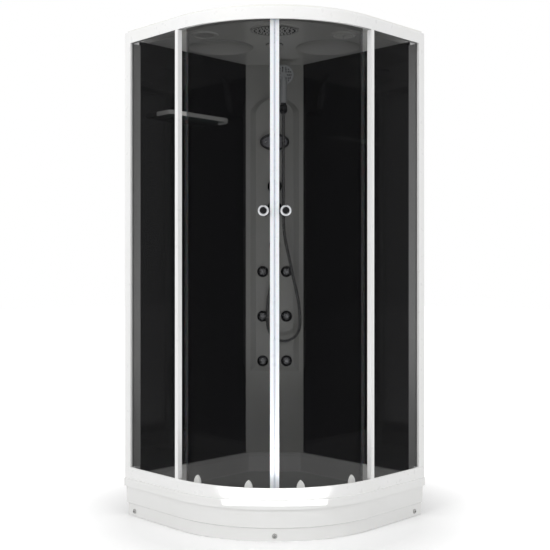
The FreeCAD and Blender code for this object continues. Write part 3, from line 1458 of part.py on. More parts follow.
def outwards(radius, long, across, height):
    """Level rod from the valve's plane towards the column's face."""
    return on_column(cylinder(radius, long), "valve_out", across, height)


def crossbar(height, half_length, radius):
    """Level rod across the diagonal, in the valve's plane."""
    rod = cylinder(radius, f"2 * ({half_length})")
    return place(rod, *plan_point("valve_out", f"-({half_length})"), height, "-45", "0", "-90")


def steam_generator():
    """Boiler hung on the back of the column, with its steam pipe down to the column's foot."""
    boiler = new_body("boiler")
    wide = "boiler_wide / 2"
    pad(boiler, [[("-boiler_deep", f"-({wide}) + 12"), ("-boiler_deep + 12", f"-({wide})"),
                  ("0", f"-({wide})"),
                  ("0", wide), ("-boiler_deep + 12", wide), ("-boiler_deep", f"{wide} - 12")]], "0",
                  "boiler_tall")
    under_ceiling(boiler, "column_back", "0", "boiler_low")
    pipe = under_ceiling(cylinder("pipe_radius", "boiler_low - ledge_top - 12", "Steam_pipe"),
                         "column_back - 28", "0",
                         "ledge_top + 12")
    keep(fused("steam_generator", [boiler, pipe]))


# ---------------------------------------------------------------- run
def build():
    tray_basin()
    front_apron()
    screw_caps()
    tray_frame()
    levelling_feet()
    drain_trap()
    drain_cover()
    lower_rail()
    upper_rail()
    posts()
    jambs()
    fixed_glass()
    wall_panels()
    door_glass()
    door_seals()
    door_knobs()
    roller_brackets()
    wheels()
    column()
    jets()
    control_panel()
    taps()
    hose_outlet()
    handset_bracket()
    handset_cradle()
    hand_shower()
    shower_hose()
    shelf()
    ceiling()
    rain_shower()
    ceiling_lamp()
    ceiling_speaker()
    fan()
    mixer_valve()
    steam_generator()


build()
document.recompute()
failed = [item.Label for item in document.Objects if "Invalid" in item.State or "Error" in item.State]
failed += [label for label, item in nodes.items() if item.Shape.isNull() or not item.Shape.isValid()]
if failed:
    raise RuntimeError(f"not built: {failed}")
os.makedirs("parts", exist_ok=True)
for label, item in nodes.items():
    item.Shape.exportStep(f"parts/{label}.step")
print(f"{len(nodes)} nodes written")
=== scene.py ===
# %% [markdown]
# # Dressing a quadrant steam shower cabin
# The construction model gives every rigid piece of the cabin at its real size. This script gives
# those pieces their finishes, adds the hose and the small pieces that only the eye needs, and sets
# up a plain studio. The first step is always to load the fixed frame. Nothing that is added later
# may grow the cabin.

# %% Load the cabin
import json
import math

import bpy
from mathutils import Matrix, Vector


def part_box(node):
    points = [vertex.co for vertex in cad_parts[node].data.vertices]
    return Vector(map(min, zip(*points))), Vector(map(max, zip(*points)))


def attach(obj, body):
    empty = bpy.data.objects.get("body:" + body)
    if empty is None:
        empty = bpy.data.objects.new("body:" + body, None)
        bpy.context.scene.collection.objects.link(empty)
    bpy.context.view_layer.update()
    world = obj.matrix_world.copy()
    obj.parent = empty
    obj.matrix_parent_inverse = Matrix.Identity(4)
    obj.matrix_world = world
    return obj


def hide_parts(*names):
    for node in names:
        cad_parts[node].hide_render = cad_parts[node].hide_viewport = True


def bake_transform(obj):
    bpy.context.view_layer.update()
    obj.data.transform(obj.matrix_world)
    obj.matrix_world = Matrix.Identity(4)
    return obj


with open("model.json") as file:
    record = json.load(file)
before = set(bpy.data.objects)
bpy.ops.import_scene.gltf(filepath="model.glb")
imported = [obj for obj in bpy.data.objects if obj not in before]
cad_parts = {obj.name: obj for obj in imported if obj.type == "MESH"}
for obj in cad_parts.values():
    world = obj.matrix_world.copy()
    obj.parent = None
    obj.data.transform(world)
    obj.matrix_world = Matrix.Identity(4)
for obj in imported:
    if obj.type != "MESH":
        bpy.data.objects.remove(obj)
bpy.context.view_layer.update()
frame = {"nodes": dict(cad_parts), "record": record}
nodes = frame["nodes"]
scene = bpy.context.scene

# %% [markdown]
# ## The viewpoint
# The picture to match looks straight along the diagonal of the cabin, level, from just over a
# metre above the floor. A level camera keeps upright edges parallel, so the cabin is framed with a
# small lens shift, as a view camera does, and not by tilting. Distance and focal length belong
# together: how much wider the near apron looks than the far column fixes the distance, and the
# height of the cabin in the picture then fixes the lens.

# %% Camera
MM = 0.001
HALF_SIDE = 450 * MM
CAMERA_DISTANCE = 4546.5 * MM
CAMERA_HEIGHT = 1030 * MM
FOCAL_PIXELS = 924.0
PICTURE_SIDE = 550
SENSOR = 36.0
HORIZON_ROW = 271.8
MIDDLE_COLUMN = 274.6
DIAGONAL = math.sqrt(0.5)


def plan_point(out, across, height):
    """A point from its distance out of the back corner, its offset to the right, and its height."""
    x = -HALF_SIDE + (out + across) * DIAGONAL
    y = HALF_SIDE + (across - out) * DIAGONAL
    return Vector((x, y, height))


camera_data = bpy.data.cameras.new("camera")
camera_data.sensor_width = SENSOR
camera_data.lens = FOCAL_PIXELS / PICTURE_SIDE * SENSOR
camera_data.shift_x = (PICTURE_SIDE / 2 - MIDDLE_COLUMN) / PICTURE_SIDE
camera_data.shift_y = (HORIZON_ROW - PICTURE_SIDE / 2) / PICTURE_SIDE
camera = bpy.data.objects.new("camera", camera_data)
camera.location = plan_point(CAMERA_DISTANCE, 0, CAMERA_HEIGHT)
camera.rotation_euler = (math.radians(90), 0, math.radians(45))
scene.collection.objects.link(camera)
scene.camera = camera
print("camera at", tuple(round(v, 4) for v in camera.location), "lens", round(camera_data.lens, 2))

# %% [markdown]
# ## The shower hose
# A shower hose is a flexible metal spiral over a rubber tube, 14 mm thick. It has one fixed
# length, leaves the nut of the hand shower in line with the handle, hangs in a loop below the taps
# and comes back up into the wall elbow. One smooth curve carries it, and the points below steer
# that curve. The spiral itself could be painted as bumps, but its outline shows against the pale
# column, so it is real: one rib is modelled, an Array repeats it, and a Curve modifier lays the
# row on the route. The cradle tips with the hand shower, so the hose bends between the nut and a
# point below it.

# %% Hose route
HOSE_RADIUS = 7 * MM
ROUTE_ORDER = 3
ROUTE_STEPS = 24
HOSE_ROUTE = [
    (260.8, 41, 1805.8), (244.5, 41, 1713.2), (247.5, 39.5, 1243), (247, 53, 1160),
    (245.5, 70, 1085), (243.5, 86.5, 1003), (241.5, 103.5, 931), (239, 115, 868),
    (237, 119, 812), (235, 117, 760), (232, 90, 719), (229, 45, 702.5), (226.5, -1, 717),
    (224, -30.5, 757), (222, -35, 806), (220.4, -34, 866), (220.4, -24, 938), (220.4, -7, 1010),
    (220.43, 0, 1068), (220.43, 0, 1120),
]


def point_mm(point):
    """The place of a plan point that is given in millimetres."""
    return plan_point(*(value * MM for value in point))


def nurbs_route(name, points):
    """A smooth line that is steered by these points."""
    data = bpy.data.curves.new(name, "CURVE")
    data.dimensions = "3D"
    data.resolution_u = ROUTE_STEPS
    spline = data.splines.new("NURBS")
    spline.points.add(len(points) - 1)
    for control, point in zip(spline.points, points):
        control.co = (*point, 1)
    spline.order_u = ROUTE_ORDER
    spline.use_endpoint_u = True
    route = bpy.data.objects.new(name, data)
    scene.collection.objects.link(route)
    return route


def line_points(route):
    """The points of the smooth line itself."""
    line = bpy.data.meshes.new_from_object(route)
    points = [vertex.co.copy() for vertex in line.vertices]
    bpy.data.meshes.remove(line)
    return points


def line_length(points):
    return sum((b - a).length for a, b in zip(points, points[1:]))


hose_route = nurbs_route("hose_route", [point_mm(point) for point in HOSE_ROUTE])
hose_line = line_points(hose_route)
hose_length = line_length(hose_line)
print("hose length", round(hose_length, 4))

# %% [markdown]
# ## Tools of the bench
# Operators act on whatever is selected, so each step begins from a clean selection. A finished
# piece has its place in its mesh and its object at the origin, as the frame's own pieces have,
# because a pattern in Object coordinates then stays where it was put.

# %% Helpers for modelling by hand


def start_clean():
    """Nothing is selected, so that an operator touches only the new piece."""
    if bpy.context.object and bpy.context.object.mode != "OBJECT":
        bpy.ops.object.mode_set(mode="OBJECT")
    bpy.ops.object.select_all(action="DESELECT")


def pick(piece):
    start_clean()
    piece.select_set(True)
    bpy.context.view_layer.objects.active = piece


def apply_modifier(piece, kind, **settings):
    """Adds one modifier, sets it up and applies it."""
    pick(piece)
    modifier = piece.modifiers.new(kind.lower(), kind)
    for key, value in settings.items():
        setattr(modifier, key, value)
    bpy.ops.object.modifier_apply(modifier=modifier.name)


def settle(piece):
    """Puts the place of a finished piece into its mesh."""
    pick(piece)
    bpy.ops.object.transform_apply(location=True, rotation=True, scale=True)


def count(piece):
    return f"{piece.name}: {len(piece.data.vertices)} points, {len(piece.data.polygons)} faces"

# %% [markdown]
# One rib of the spiral is a short open ring that swells in its middle. It is drawn as a cylinder
# without caps, lying along X and cut finer, and each of its points is moved out by a sine of the
# way along the rib. The array is as long as the line, so the ribs run out exactly at the nut and
# at the elbow.

# %% Hose
RIB_PITCH = 2.6 * MM
RIB_DEPTH = 0.9 * MM
RIB_FULLNESS = 0.7
RIB_CUTS = 3
RIB_MERGE = 0.2 * MM
HOSE_SIDES = 14


def hose_rib():
    start_clean()
    bpy.ops.mesh.primitive_cylinder_add(
        vertices=HOSE_SIDES, radius=HOSE_RADIUS - RIB_DEPTH, depth=RIB_PITCH,
        end_fill_type="NOTHING", location=(RIB_PITCH / 2, 0, 0), rotation=(0, math.radians(90), 0))
    rib = bpy.context.object
    settle(rib)
    bpy.ops.object.mode_set(mode="EDIT")
    bpy.ops.mesh.select_all(action="SELECT")
    bpy.ops.mesh.subdivide(number_cuts=RIB_CUTS)
    bpy.ops.object.mode_set(mode="OBJECT")
    for vertex in rib.data.vertices:
        share = min(max(vertex.co.x / RIB_PITCH, 0.0), 1.0)
        swell = RIB_DEPTH * max(math.sin(math.pi * share), 0.0) ** RIB_FULLNESS
        radius = math.hypot(vertex.co.y, vertex.co.z)
        vertex.co.y *= (HOSE_RADIUS - RIB_DEPTH + swell) / radius
        vertex.co.z *= (HOSE_RADIUS - RIB_DEPTH + swell) / radius
    return rib


hose = hose_rib()
hose.name = "hose_spiral"
ribs = int(hose_length / RIB_PITCH)
stretch = hose_length / (ribs * RIB_PITCH)
apply_modifier(hose, "ARRAY", count=ribs, use_merge_vertices=True, merge_threshold=RIB_MERGE)
for vertex in hose.data.vertices:
    vertex.co.x *= stretch
apply_modifier(hose, "CURVE", object=hose_route, deform_axis="POS_X")
bpy.ops.object.shade_smooth()
print(count(hose), "ribs", ribs)

# %% [markdown]
# ## Finishes
# Every finish is a node material. All of them need the same few moves: a Principled shader, a
# noise that reads Object coordinates in metres, a ramp that turns the noise into a small change of
# colour or gloss, and a Bump. These moves become short helpers, and each finish then is a few
# lines that say what is special about it. Noise seldom leaves the middle of its range, so only
# that part of it is spread over a change.

# %% Helpers for finishes
NOISE_LOW = 0.3
NOISE_HIGH = 0.7
MIX_NEAR, MIX_FAR, MIX_RESULT = 6, 7, 2


def tune(node, **values):
    """Sets sockets by their names, with an underscore for each space."""
    for key, value in values.items():
        node.inputs[key.replace("_", " ")].default_value = value


def new_finish(name, colour, roughness, metallic=0.0):
    """A material with one Principled shader, and that shader."""
    material = bpy.data.materials.new(name)
    material.use_nodes = True
    shader = material.node_tree.nodes["Principled BSDF"]
    tune(shader, Base_Color=(*colour, 1), Roughness=roughness, Metallic=metallic)
    return material, shader


def add(material, kind, **settings):
    """Adds one node; settings name its own properties or its sockets."""
    node = material.node_tree.nodes.new(kind)
    for key, value in settings.items():
        if hasattr(node, key):
            setattr(node, key, value)
        else:
            tune(node, **{key: value})
    return node


def wire(material, source, target):
    material.node_tree.links.new(source, target)


def place_of(material, scale=(1, 1, 1)):
    """Object coordinates in metres, stretched by scale."""
    where = add(material, "ShaderNodeTexCoord")
    mapping = add(material, "ShaderNodeMapping", Scale=scale)
    wire(material, where.outputs["Object"], mapping.inputs["Vector"])
    return mapping.outputs["Vector"]


def cloud(material, size, detail=3.0, scale=(1, 1, 1)):
    """Soft noise whose patches are about size metres across."""
    noise = add(material, "ShaderNodeTexNoise", Scale=1 / size, Detail=detail)
    wire(material, place_of(material, scale), noise.inputs["Vector"])
    return noise.outputs["Fac"]


def vary(material, shader, socket, factor, low, high):
    """Drives a number socket between low and high."""
    spread = add(material, "ShaderNodeMapRange", From_Min=NOISE_LOW, From_Max=NOISE_HIGH,
                 To_Min=low, To_Max=high)
    wire(material, factor, spread.inputs["Value"])
    wire(material, spread.outputs["Result"], shader.inputs[socket])


def tint(material, shader, factor, first, second):
    """Blends the base colour between two close tones."""
    ramp = add(material, "ShaderNodeValToRGB")
    ramp.color_ramp.elements[0].position = NOISE_LOW
    ramp.color_ramp.elements[0].color = (*first, 1)
    ramp.color_ramp.elements[1].position = NOISE_HIGH
    ramp.color_ramp.elements[1].color = (*second, 1)
    wire(material, factor, ramp.inputs["Fac"])
    wire(material, ramp.outputs["Color"], shader.inputs["Base Color"])


def emboss(material, shader, height, depth, strength=1.0):
    """Turns a height signal into a bump that is depth metres deep."""
    bump = add(material, "ShaderNodeBump", Strength=strength, Distance=depth)
    wire(material, height, bump.inputs["Height"])
    wire(material, bump.outputs["Normal"], shader.inputs["Normal"])


def grey(level):
    return (level, level, level)


def split_by(material, shader, direction, edge, near, far, socket="Base Color"):
    """Two values of one socket, near to and far from the plane through the origin."""
    where = add(material, "ShaderNodeTexCoord")
    along = add(material, "ShaderNodeVectorMath", operation="DOT_PRODUCT")
    along.inputs[1].default_value = direction
    wire(material, where.outputs["Object"], along.inputs[0])
    size = add(material, "ShaderNodeMath", operation="ABSOLUTE")
    wire(material, along.outputs["Value"], size.inputs[0])
    step = add(material, "ShaderNodeMath", operation="GREATER_THAN")
    step.inputs[1].default_value = edge
    wire(material, size.outputs[0], step.inputs[0])
    if socket == "Base Color":
        mix = add(material, "ShaderNodeMix", data_type="RGBA")
        mix.inputs[MIX_NEAR].default_value = (*near, 1)
        mix.inputs[MIX_FAR].default_value = (*far, 1)
        wire(material, step.outputs[0], mix.inputs[0])
        wire(material, mix.outputs[MIX_RESULT], shader.inputs[socket])
    else:
        spread = add(material, "ShaderNodeMapRange", To_Min=near, To_Max=far)
        wire(material, step.outputs[0], spread.inputs["Value"])
        wire(material, spread.outputs["Result"], shader.inputs[socket])

# %% [markdown]
# ### Tray, column and ceiling
# These are sheets of white acrylic, drawn over a mould while hot. The face stays glossy, but it is
# never optically flat: it keeps a faint wave a few centimetres long, and wiping leaves patches
# that are a little duller. Bump with a long wavelength and a roughness that wanders give just
# that. The column is the same white acrylic, but it gets a greyer tone than the tray: painted
# shade, set by how dim it should look through the tinted panes.

# %% White acrylic
def white_acrylic(name, tone, warmth=0.985):
    acrylic, shader = new_finish(name, grey(tone), 0.18)
    patches = cloud(acrylic, 0.12)
    tint(acrylic, shader, patches, (tone, tone, tone * warmth),
         (tone * 1.02, tone * 1.02, tone * 1.01))
    vary(acrylic, shader, "Roughness", cloud(acrylic, 0.05, 5.0), 0.12, 0.24)
    emboss(acrylic, shader, cloud(acrylic, 0.06, 1.0), depth=0.6 * MM, strength=0.4)
    tune(shader, Coat_Weight=0.35, Coat_Roughness=0.06)
    return acrylic


tray_white = white_acrylic("tray_white_acrylic", 0.80)
# The column's 0.60 is painted shade: the tray's white acrylic, darkened for the dim cabin.
column_shaded_finish = white_acrylic("column_acrylic_painted_shade", 0.60, 0.95)
ceiling_white = white_acrylic("ceiling_white_acrylic", 0.82, 0.95)
print(tray_white.name, column_shaded_finish.name, ceiling_white.name)

# %% [markdown]
# ### Rails, posts and jambs
# The frame is extruded aluminium with a white powder coat. Powder is sprayed dry and baked, and it
# flows out to a satin skin with a fine orange peel of about a millimetre. Fine noise as a shallow
# bump gives the peel, and it breaks up the reflections along the long rails.

# %% Powder coat
PEEL_SIZE = 1.2 * MM


def powder_coat(name, tone):
    coat, shader = new_finish(name, grey(tone), 0.3)
    vary(coat, shader, "Roughness", cloud(coat, 0.03, 4.0), 0.26, 0.36)
    tint(coat, shader, cloud(coat, 0.2), grey(tone), (tone * 0.985, tone * 0.985, tone * 0.97))
    emboss(coat, shader, cloud(coat, PEEL_SIZE, 2.0), depth=0.04 * MM, strength=0.6)
    tune(shader, Coat_Weight=0.2, Coat_Roughness=0.12)
    return coat


frame_white = powder_coat("frame_powder_coat", 0.86)
print(frame_white.name)

# %% [markdown]
# ### Tinted glass
# Grey safety glass passes about a third of the light through each pane, so the inside of the cabin
# is dim, and it is dimmed once more on the way out. A refracting shader would look much the same
# in so flat a pane, but it throws a solid shadow in a path tracer and the cabin would be black
# inside. A surface that is partly see-through lets the lamps in. The share is set for one face,
# and light crosses two faces in each pane.

# %% Tinted glass
PANE_PASSES = 0.34
PASS_WANDERS = 0.008


def tinted_glass():
    glass, shader = new_finish("grey_tinted_glass", (0.003, 0.003, 0.0035), 0.02)
    tune(shader, Specular_IOR_Level=0.05)
    vary(glass, shader, "Roughness", cloud(glass, 0.09, 6.0), 0.01, 0.05)
    smear = cloud(glass, 0.25, 4.0, (1, 1, 0.3))
    stops = 1 - math.sqrt(PANE_PASSES)
    vary(glass, shader, "Alpha", smear, stops - PASS_WANDERS, stops + PASS_WANDERS)
    return glass


glass_grey = tinted_glass()
print(glass_grey.name)


# %% Shelf glass
def shelf_glass():
    glass, shader = new_finish("shelf_glass", (0.25, 0.33, 0.31), 0.03)
    tune(shader, Alpha=0.3)
    vary(glass, shader, "Roughness", cloud(glass, 0.04, 5.0), 0.02, 0.07)
    return glass


shelf_clear = shelf_glass()
print(shelf_clear.name)

# %% [markdown]
# ### Black gloss wall sheets
# The two wall sheets are black acrylic, as glossy as a piano lid. Black gloss has no colour of its
# own: all that it shows is what it mirrors, so the work is in the reflection. A slight long wave
# bends the reflected handles and shelf, and a haze of fine wiping marks softens them.

# %% Black gloss
def black_gloss():
    black, shader = new_finish("black_gloss_sheet", (0.006, 0.006, 0.0065), 0.05)
    vary(black, shader, "Roughness", cloud(black, 0.08, 5.0), 0.03, 0.08)
    tint(black, shader, cloud(black, 0.3), (0.0055, 0.0055, 0.006), (0.0075, 0.0075, 0.008))
    emboss(black, shader, cloud(black, 0.18, 0.0), depth=0.8 * MM, strength=0.25)
    return black


wall_black = black_gloss()
print(wall_black.name)

# %% [markdown]
# ### Chrome
# The knobs, jets and taps are chrome plated. Chrome is a mirror with a cool grey tone, and what
# makes it read as chrome is the contrast of bright and dark things around it. Behind tinted glass
# little bright is left to mirror, so the fittings in there get darker copies of the chrome as
# painted shade, and a brighter copy paints a highlight on the jet nozzles, the power button and
# the ring on the panel's rim. Water drops that have dried leave small dull specks, so a fine
# noise raises the roughness in places.

# %% Chrome and metals
def polished_metal(name, colour, smooth, dull, speck=0.006):
    metal, shader = new_finish(name, colour, smooth, 1.0)
    vary(metal, shader, "Roughness", cloud(metal, speck, 6.0), smooth, dull)
    tint(metal, shader, cloud(metal, 0.03), colour, tuple(level * 0.94 for level in colour))
    emboss(metal, shader, cloud(metal, 0.004, 2.0), depth=0.03 * MM, strength=0.5)
    return metal


chrome = polished_metal("chrome_plate", (0.62, 0.63, 0.65), 0.04, 0.12)
# Darker chrome for the fittings behind the tinted glass: painted shade.
chrome_painted_shade = polished_metal("chrome_plate_painted_shade", (0.09, 0.09, 0.095), 0.08, 0.2)
hose_steel = polished_metal("hose_spiral_steel", (0.36, 0.36, 0.365), 0.18, 0.3)
# Near-black chrome for the control panel's rim: painted shade.
panel_edge_painted_shade = polished_metal("panel_edge_chrome_painted_shade", (0.05, 0.05, 0.052), 0.05, 0.12)
# Brighter chrome: painted highlight.
chrome_painted_highlight = polished_metal("chrome_painted_highlight", (0.75, 0.76, 0.78), 0.05, 0.12)
cap_steel = polished_metal("cap_steel", (0.42, 0.42, 0.41), 0.2, 0.34)
brass = polished_metal("cast_brass", (0.72, 0.56, 0.28), 0.25, 0.42, speck=0.003)
print(chrome.name, chrome_painted_shade.name, hose_steel.name, panel_edge_painted_shade.name)
print(chrome_painted_highlight.name, cap_steel.name, brass.name)


def galvanised():
    """Zinc crystals give steel its large pale flakes."""
    steel, shader = new_finish("galvanised_steel", grey(0.5), 0.4, 1.0)
    flakes = add(steel, "ShaderNodeTexVoronoi", Scale=140.0)
    wire(steel, place_of(steel), flakes.inputs["Vector"])
    tint(steel, shader, flakes.outputs["Color"], grey(0.42), (0.6, 0.61, 0.63))
    vary(steel, shader, "Roughness", flakes.outputs["Color"], 0.32, 0.5)
    return steel


zinc_steel = galvanised()
print(zinc_steel.name)

# %% [markdown]
# ### Mouldings and seals
# Small pieces are injection moulded: satin, with the fine even grain of a spark-eroded mould.
# Black rubber and black plastic mirror less, or the white studio would turn them grey.

# %% Plastics
DARK_TONE = 0.05
DARK_MIRRORS = 0.12


def moulded_plastic(name, colour, roughness=0.4, grain=0.0008):
    plastic, shader = new_finish(name, colour, roughness)
    tint(plastic, shader, cloud(plastic, 0.05), colour, tuple(level * 0.96 for level in colour))
    vary(plastic, shader, "Roughness", cloud(plastic, 0.02, 4.0),
         roughness - 0.06, roughness + 0.08)
    emboss(plastic, shader, cloud(plastic, grain, 2.0), depth=0.03 * MM, strength=0.6)
    if max(colour) < DARK_TONE:
        tune(shader, Specular_IOR_Level=DARK_MIRRORS)
    return plastic


white_plastic = moulded_plastic("white_moulding", (0.82, 0.82, 0.80))
# Black plastic for the handset bracket, cradle and lamp seal; on the sound holes and screw sockets
# the same black is painted shade of a hole.
dark_moulding_and_hole_shade = moulded_plastic("moulded_black_and_hole_shade", (0.02, 0.02, 0.021), 0.35)
# Near-black for the knob dishes: painted reflection of the dark that a concave chrome middle
# mirrors.
dish_painted_reflection = moulded_plastic("thumb_dish_painted_reflection", (0.008, 0.008, 0.009), 0.3)
spray_rubber = moulded_plastic("spray_rubber", (0.015, 0.016, 0.02), 0.6, grain=0.0005)
# Dark grey for the band round the overhead shower: painted shade of the gap at the plate's edge.
rain_gap_painted_shade = moulded_plastic("rain_gap_painted_shade", (0.16, 0.16, 0.165), 0.5)
panel_grey = moulded_plastic("panel_face_plastic", (0.38, 0.38, 0.41), 0.28)
rail_satin = moulded_plastic("shelf_rail_satin", (0.80, 0.80, 0.78), 0.3)
print(white_plastic.name, dark_moulding_and_hole_shade.name, dish_painted_reflection.name, spray_rubber.name)
print(rain_gap_painted_shade.name, panel_grey.name, rail_satin.name)

# %% [markdown]
# The seal where the doors meet is milky white PVC, with a bluish channel along each glass edge,
# and light soaks into it a little. The clip at the rear edge of a door is clear PVC and hardly
# shows. They share a material, and it changes with the distance from the plane in which the doors
# meet.

# %% Door seals
ACROSS_PLAN = (DIAGONAL, DIAGONAL, 0)
UPRIGHT = (0, 0, 1)
SEAL_CHANNEL = 4.5 * MM
REAR_CLIP = 30 * MM
CLIP_SHOWS = 0.02
CHANNEL_TONE = (0.63, 0.67, 0.74)
STRIP_TONE = (0.81, 0.83, 0.86)


def seal_strip():
    seal, shader = new_finish("seal_strip", (0.84, 0.85, 0.87), 0.3)
    split_by(seal, shader, ACROSS_PLAN, SEAL_CHANNEL, CHANNEL_TONE, STRIP_TONE)
    split_by(seal, shader, ACROSS_PLAN, REAR_CLIP, 1.0, CLIP_SHOWS, "Alpha")
    vary(seal, shader, "Roughness", cloud(seal, 0.02, 4.0), 0.24, 0.38)
    emboss(seal, shader, cloud(seal, 0.0015, 2.0), depth=0.03 * MM, strength=0.6)
    tune(shader, Subsurface_Weight=0.15, Subsurface_Scale=0.002)
    return seal


seal_milky = seal_strip()
print(seal_milky.name)

# %% [markdown]
# The hand shower is one node, but it has two finishes: a pale plastic handle and head, and below
# them the chrome nut that holds the hose, near black as painted shade, like the other fittings
# behind the tinted glass. The nut ends at one height, so height tells them apart, and the colour
# and the metal share change there together.

# %% Hand shower
GRIP_OUT = 258.43 * MM
HAND_ACROSS = 41 * MM
CRADLE_HEIGHT = 1792 * MM
HAND_LEAN = math.radians(10)
NUT_TOP = 20 * MM
HANDLE_TONE = (0.70, 0.72, 0.74)
# The nut is chrome; this near-black tone is painted shade.
NUT_PAINTED_SHADE = (0.07, 0.07, 0.075)


def nut_and_handle():
    two_tone, shader = new_finish("handset_plastic_and_nut", HANDLE_TONE, 0.2)
    edge = CRADLE_HEIGHT + NUT_TOP * math.cos(HAND_LEAN)
    split_by(two_tone, shader, UPRIGHT, edge, NUT_PAINTED_SHADE, HANDLE_TONE)
    split_by(two_tone, shader, UPRIGHT, edge, 1.0, 0.0, "Metallic")
    vary(two_tone, shader, "Roughness", cloud(two_tone, 0.02, 4.0), 0.14, 0.24)
    emboss(two_tone, shader, cloud(two_tone, 0.0008, 2.0), depth=0.02 * MM, strength=0.5)
    return two_tone


handset_two_tone = nut_and_handle()
print(handset_two_tone.name)

# %% [markdown]
# ## Finishes on the frame's nodes
# The record names a material slot for every node. A finish per slot dresses most of the cabin, and
# a short list then names the nodes that differ from their slot.

# %% Dress the nodes
SLOT_FINISH = {
    "tray_acrylic": tray_white,
    "frame_white": frame_white,
    "grey_glass": glass_grey,
    "wall_gloss": wall_black,
    "chrome_trim": chrome_painted_shade,
    "clear_shelf": shelf_clear,
    "white_moulding": white_plastic,
    "seal_strip": seal_milky,
    "hose_metal": hose_steel,
    "plumbing_brass": brass,
    "under_steel": zinc_steel,
}
NODE_FINISH = {
    "column": column_shaded_finish,
    "ceiling": ceiling_white,
    "ceiling_lamp": ceiling_white,
    "ceiling_speaker": ceiling_white,
    "fan_housing": ceiling_white,
    "rain_shower": ceiling_white,
    "left_door_knob": chrome,
    "right_door_knob": chrome,
    "control_panel": panel_edge_painted_shade,
    "power_button": chrome_painted_highlight,
    "apron_screws": cap_steel,
    "hand_shower": handset_two_tone,
    "shelf_rail": rail_satin,
    "handset_bracket": dark_moulding_and_hole_shade,
    "handset_cradle": dark_moulding_and_hole_shade,
    "drain_cover": chrome,
    "steam_generator": zinc_steel,
}


def dress(node, finish):
    node.data.materials.clear()
    node.data.materials.append(finish)


for side in ("left", "right"):
    for level in ("high", "middle", "low"):
        NODE_FINISH[f"jet_nozzle_{side}_{level}"] = chrome_painted_highlight

slot_of = {part["node"]: part["material_slot"] for part in frame["record"]["subparts"]}
for name, node in nodes.items():
    dress(node, NODE_FINISH.get(name, SLOT_FINISH[slot_of[name]]))
dress(hose, hose_steel)
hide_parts("shower_hose")
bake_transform(hose)
bpy.data.objects.remove(hose_route)
print("dressed", len(nodes), "nodes")

# %% [markdown]
# ## Small pieces that only the eye needs
# The construction model has what carries load or moves. Spray nozzles, a black seal round the
# lamp, dark rings and dots that are painted shade, black knob dishes that are a painted
# reflection and a bright ring that is a painted highlight are added here, and the grip of the hand
# shower gets its full width. Each is a primitive that is shaped by inset, bevel and a few moves,
# and pieces that repeat are modelled once, copied and joined.

# %% Helpers for added pieces
COLUMN_TURN = -45
STUD_TIP = 0.65
STUD_RIM = 0.3
STUD_BORE = 0.25


def facing(degrees):
    """Turns a piece that lies on the floor plane so that its top faces this way in plan."""
    upright = Matrix.Rotation(math.radians(90), 4, "X")
    return Matrix.Rotation(math.radians(degrees + 90), 4, "Z") @ upright


def middle(name):
    low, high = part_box(name)
    return (Vector(low) + Vector(high)) / 2


def set_down(piece, place):
    """Moves a piece from the origin to its place, and settles it there."""
    piece.matrix_world = place @ piece.matrix_world
    settle(piece)
    return piece


def add_piece(piece, name, finish, body):
    """Names a finished piece, dresses it and lets it ride on its body."""
    piece.name = name
    dress(piece, finish)
    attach(piece, body)
    print(count(piece))
    return piece


def copies_of(pattern, places):
    """One piece of many copies of a small pattern, each put at its place."""
    twins = []
    for place in places:
        twin = pattern.copy()
        twin.data = pattern.data.copy()
        twin.matrix_world = place @ pattern.matrix_world
        scene.collection.objects.link(twin)
        twins.append(twin)
    bpy.data.objects.remove(pattern)
    start_clean()
    for twin in twins:
        twin.select_set(True)
    bpy.context.view_layer.objects.active = twins[0]
    bpy.ops.object.join()
    whole = bpy.context.object
    settle(whole)
    return whole


def top_face(piece):
    """Selects the one face that looks up, in edit mode."""
    pick(piece)
    bpy.ops.object.mode_set(mode="OBJECT")
    top = max(piece.data.polygons, key=lambda face: (round(face.center.z, 6), face.area))
    for part in (*piece.data.vertices, *piece.data.edges, *piece.data.polygons):
        part.select = False
    top.select = True
    bpy.ops.object.mode_set(mode="EDIT")
    bpy.ops.mesh.select_mode(type="FACE")


def dished_disc(radius, thick, rim, dish, sides=40):
    """A round plate on the floor plane with a raised rim and a sunk middle."""
    start_clean()
    bpy.ops.mesh.primitive_cylinder_add(vertices=sides, radius=radius, depth=thick,
                                        location=(0, 0, thick / 2))
    disc = bpy.context.object
    settle(disc)
    top_face(disc)
    bpy.ops.mesh.inset(thickness=rim)
    bpy.ops.mesh.inset(thickness=rim / 2)
    bpy.ops.transform.translate(value=(0, 0, -dish))
    bpy.ops.mesh.inset(thickness=(radius - 1.5 * rim) / 2)
    bpy.ops.transform.translate(value=(0, 0, -dish))
    bpy.ops.object.mode_set(mode="OBJECT")
    bpy.ops.object.shade_smooth_by_angle(angle=math.radians(50))
    return disc


def spray_stud(radius, tall, sides=10):
    """A small rubber nozzle on the floor plane, narrower at its open end."""
    start_clean()
    bpy.ops.mesh.primitive_cone_add(vertices=sides, radius1=radius, radius2=STUD_TIP * radius,
                                    depth=tall, location=(0, 0, tall / 2))
    stud = bpy.context.object
    settle(stud)
    top_face(stud)
    bpy.ops.mesh.inset(thickness=STUD_RIM * radius)
    bpy.ops.transform.translate(value=(0, 0, -STUD_BORE * tall))
    bpy.ops.object.mode_set(mode="OBJECT")
    return stud


def rings_of_places(rings):
    """Places on rings about the origin, from the radius and count of each ring."""
    places = []
    for radius, number in rings:
        for step in range(number):
            turn = Matrix.Rotation(math.tau * step / number, 4, "Z")
            places.append(turn @ Matrix.Translation((0, radius * MM, 0)))
    return places

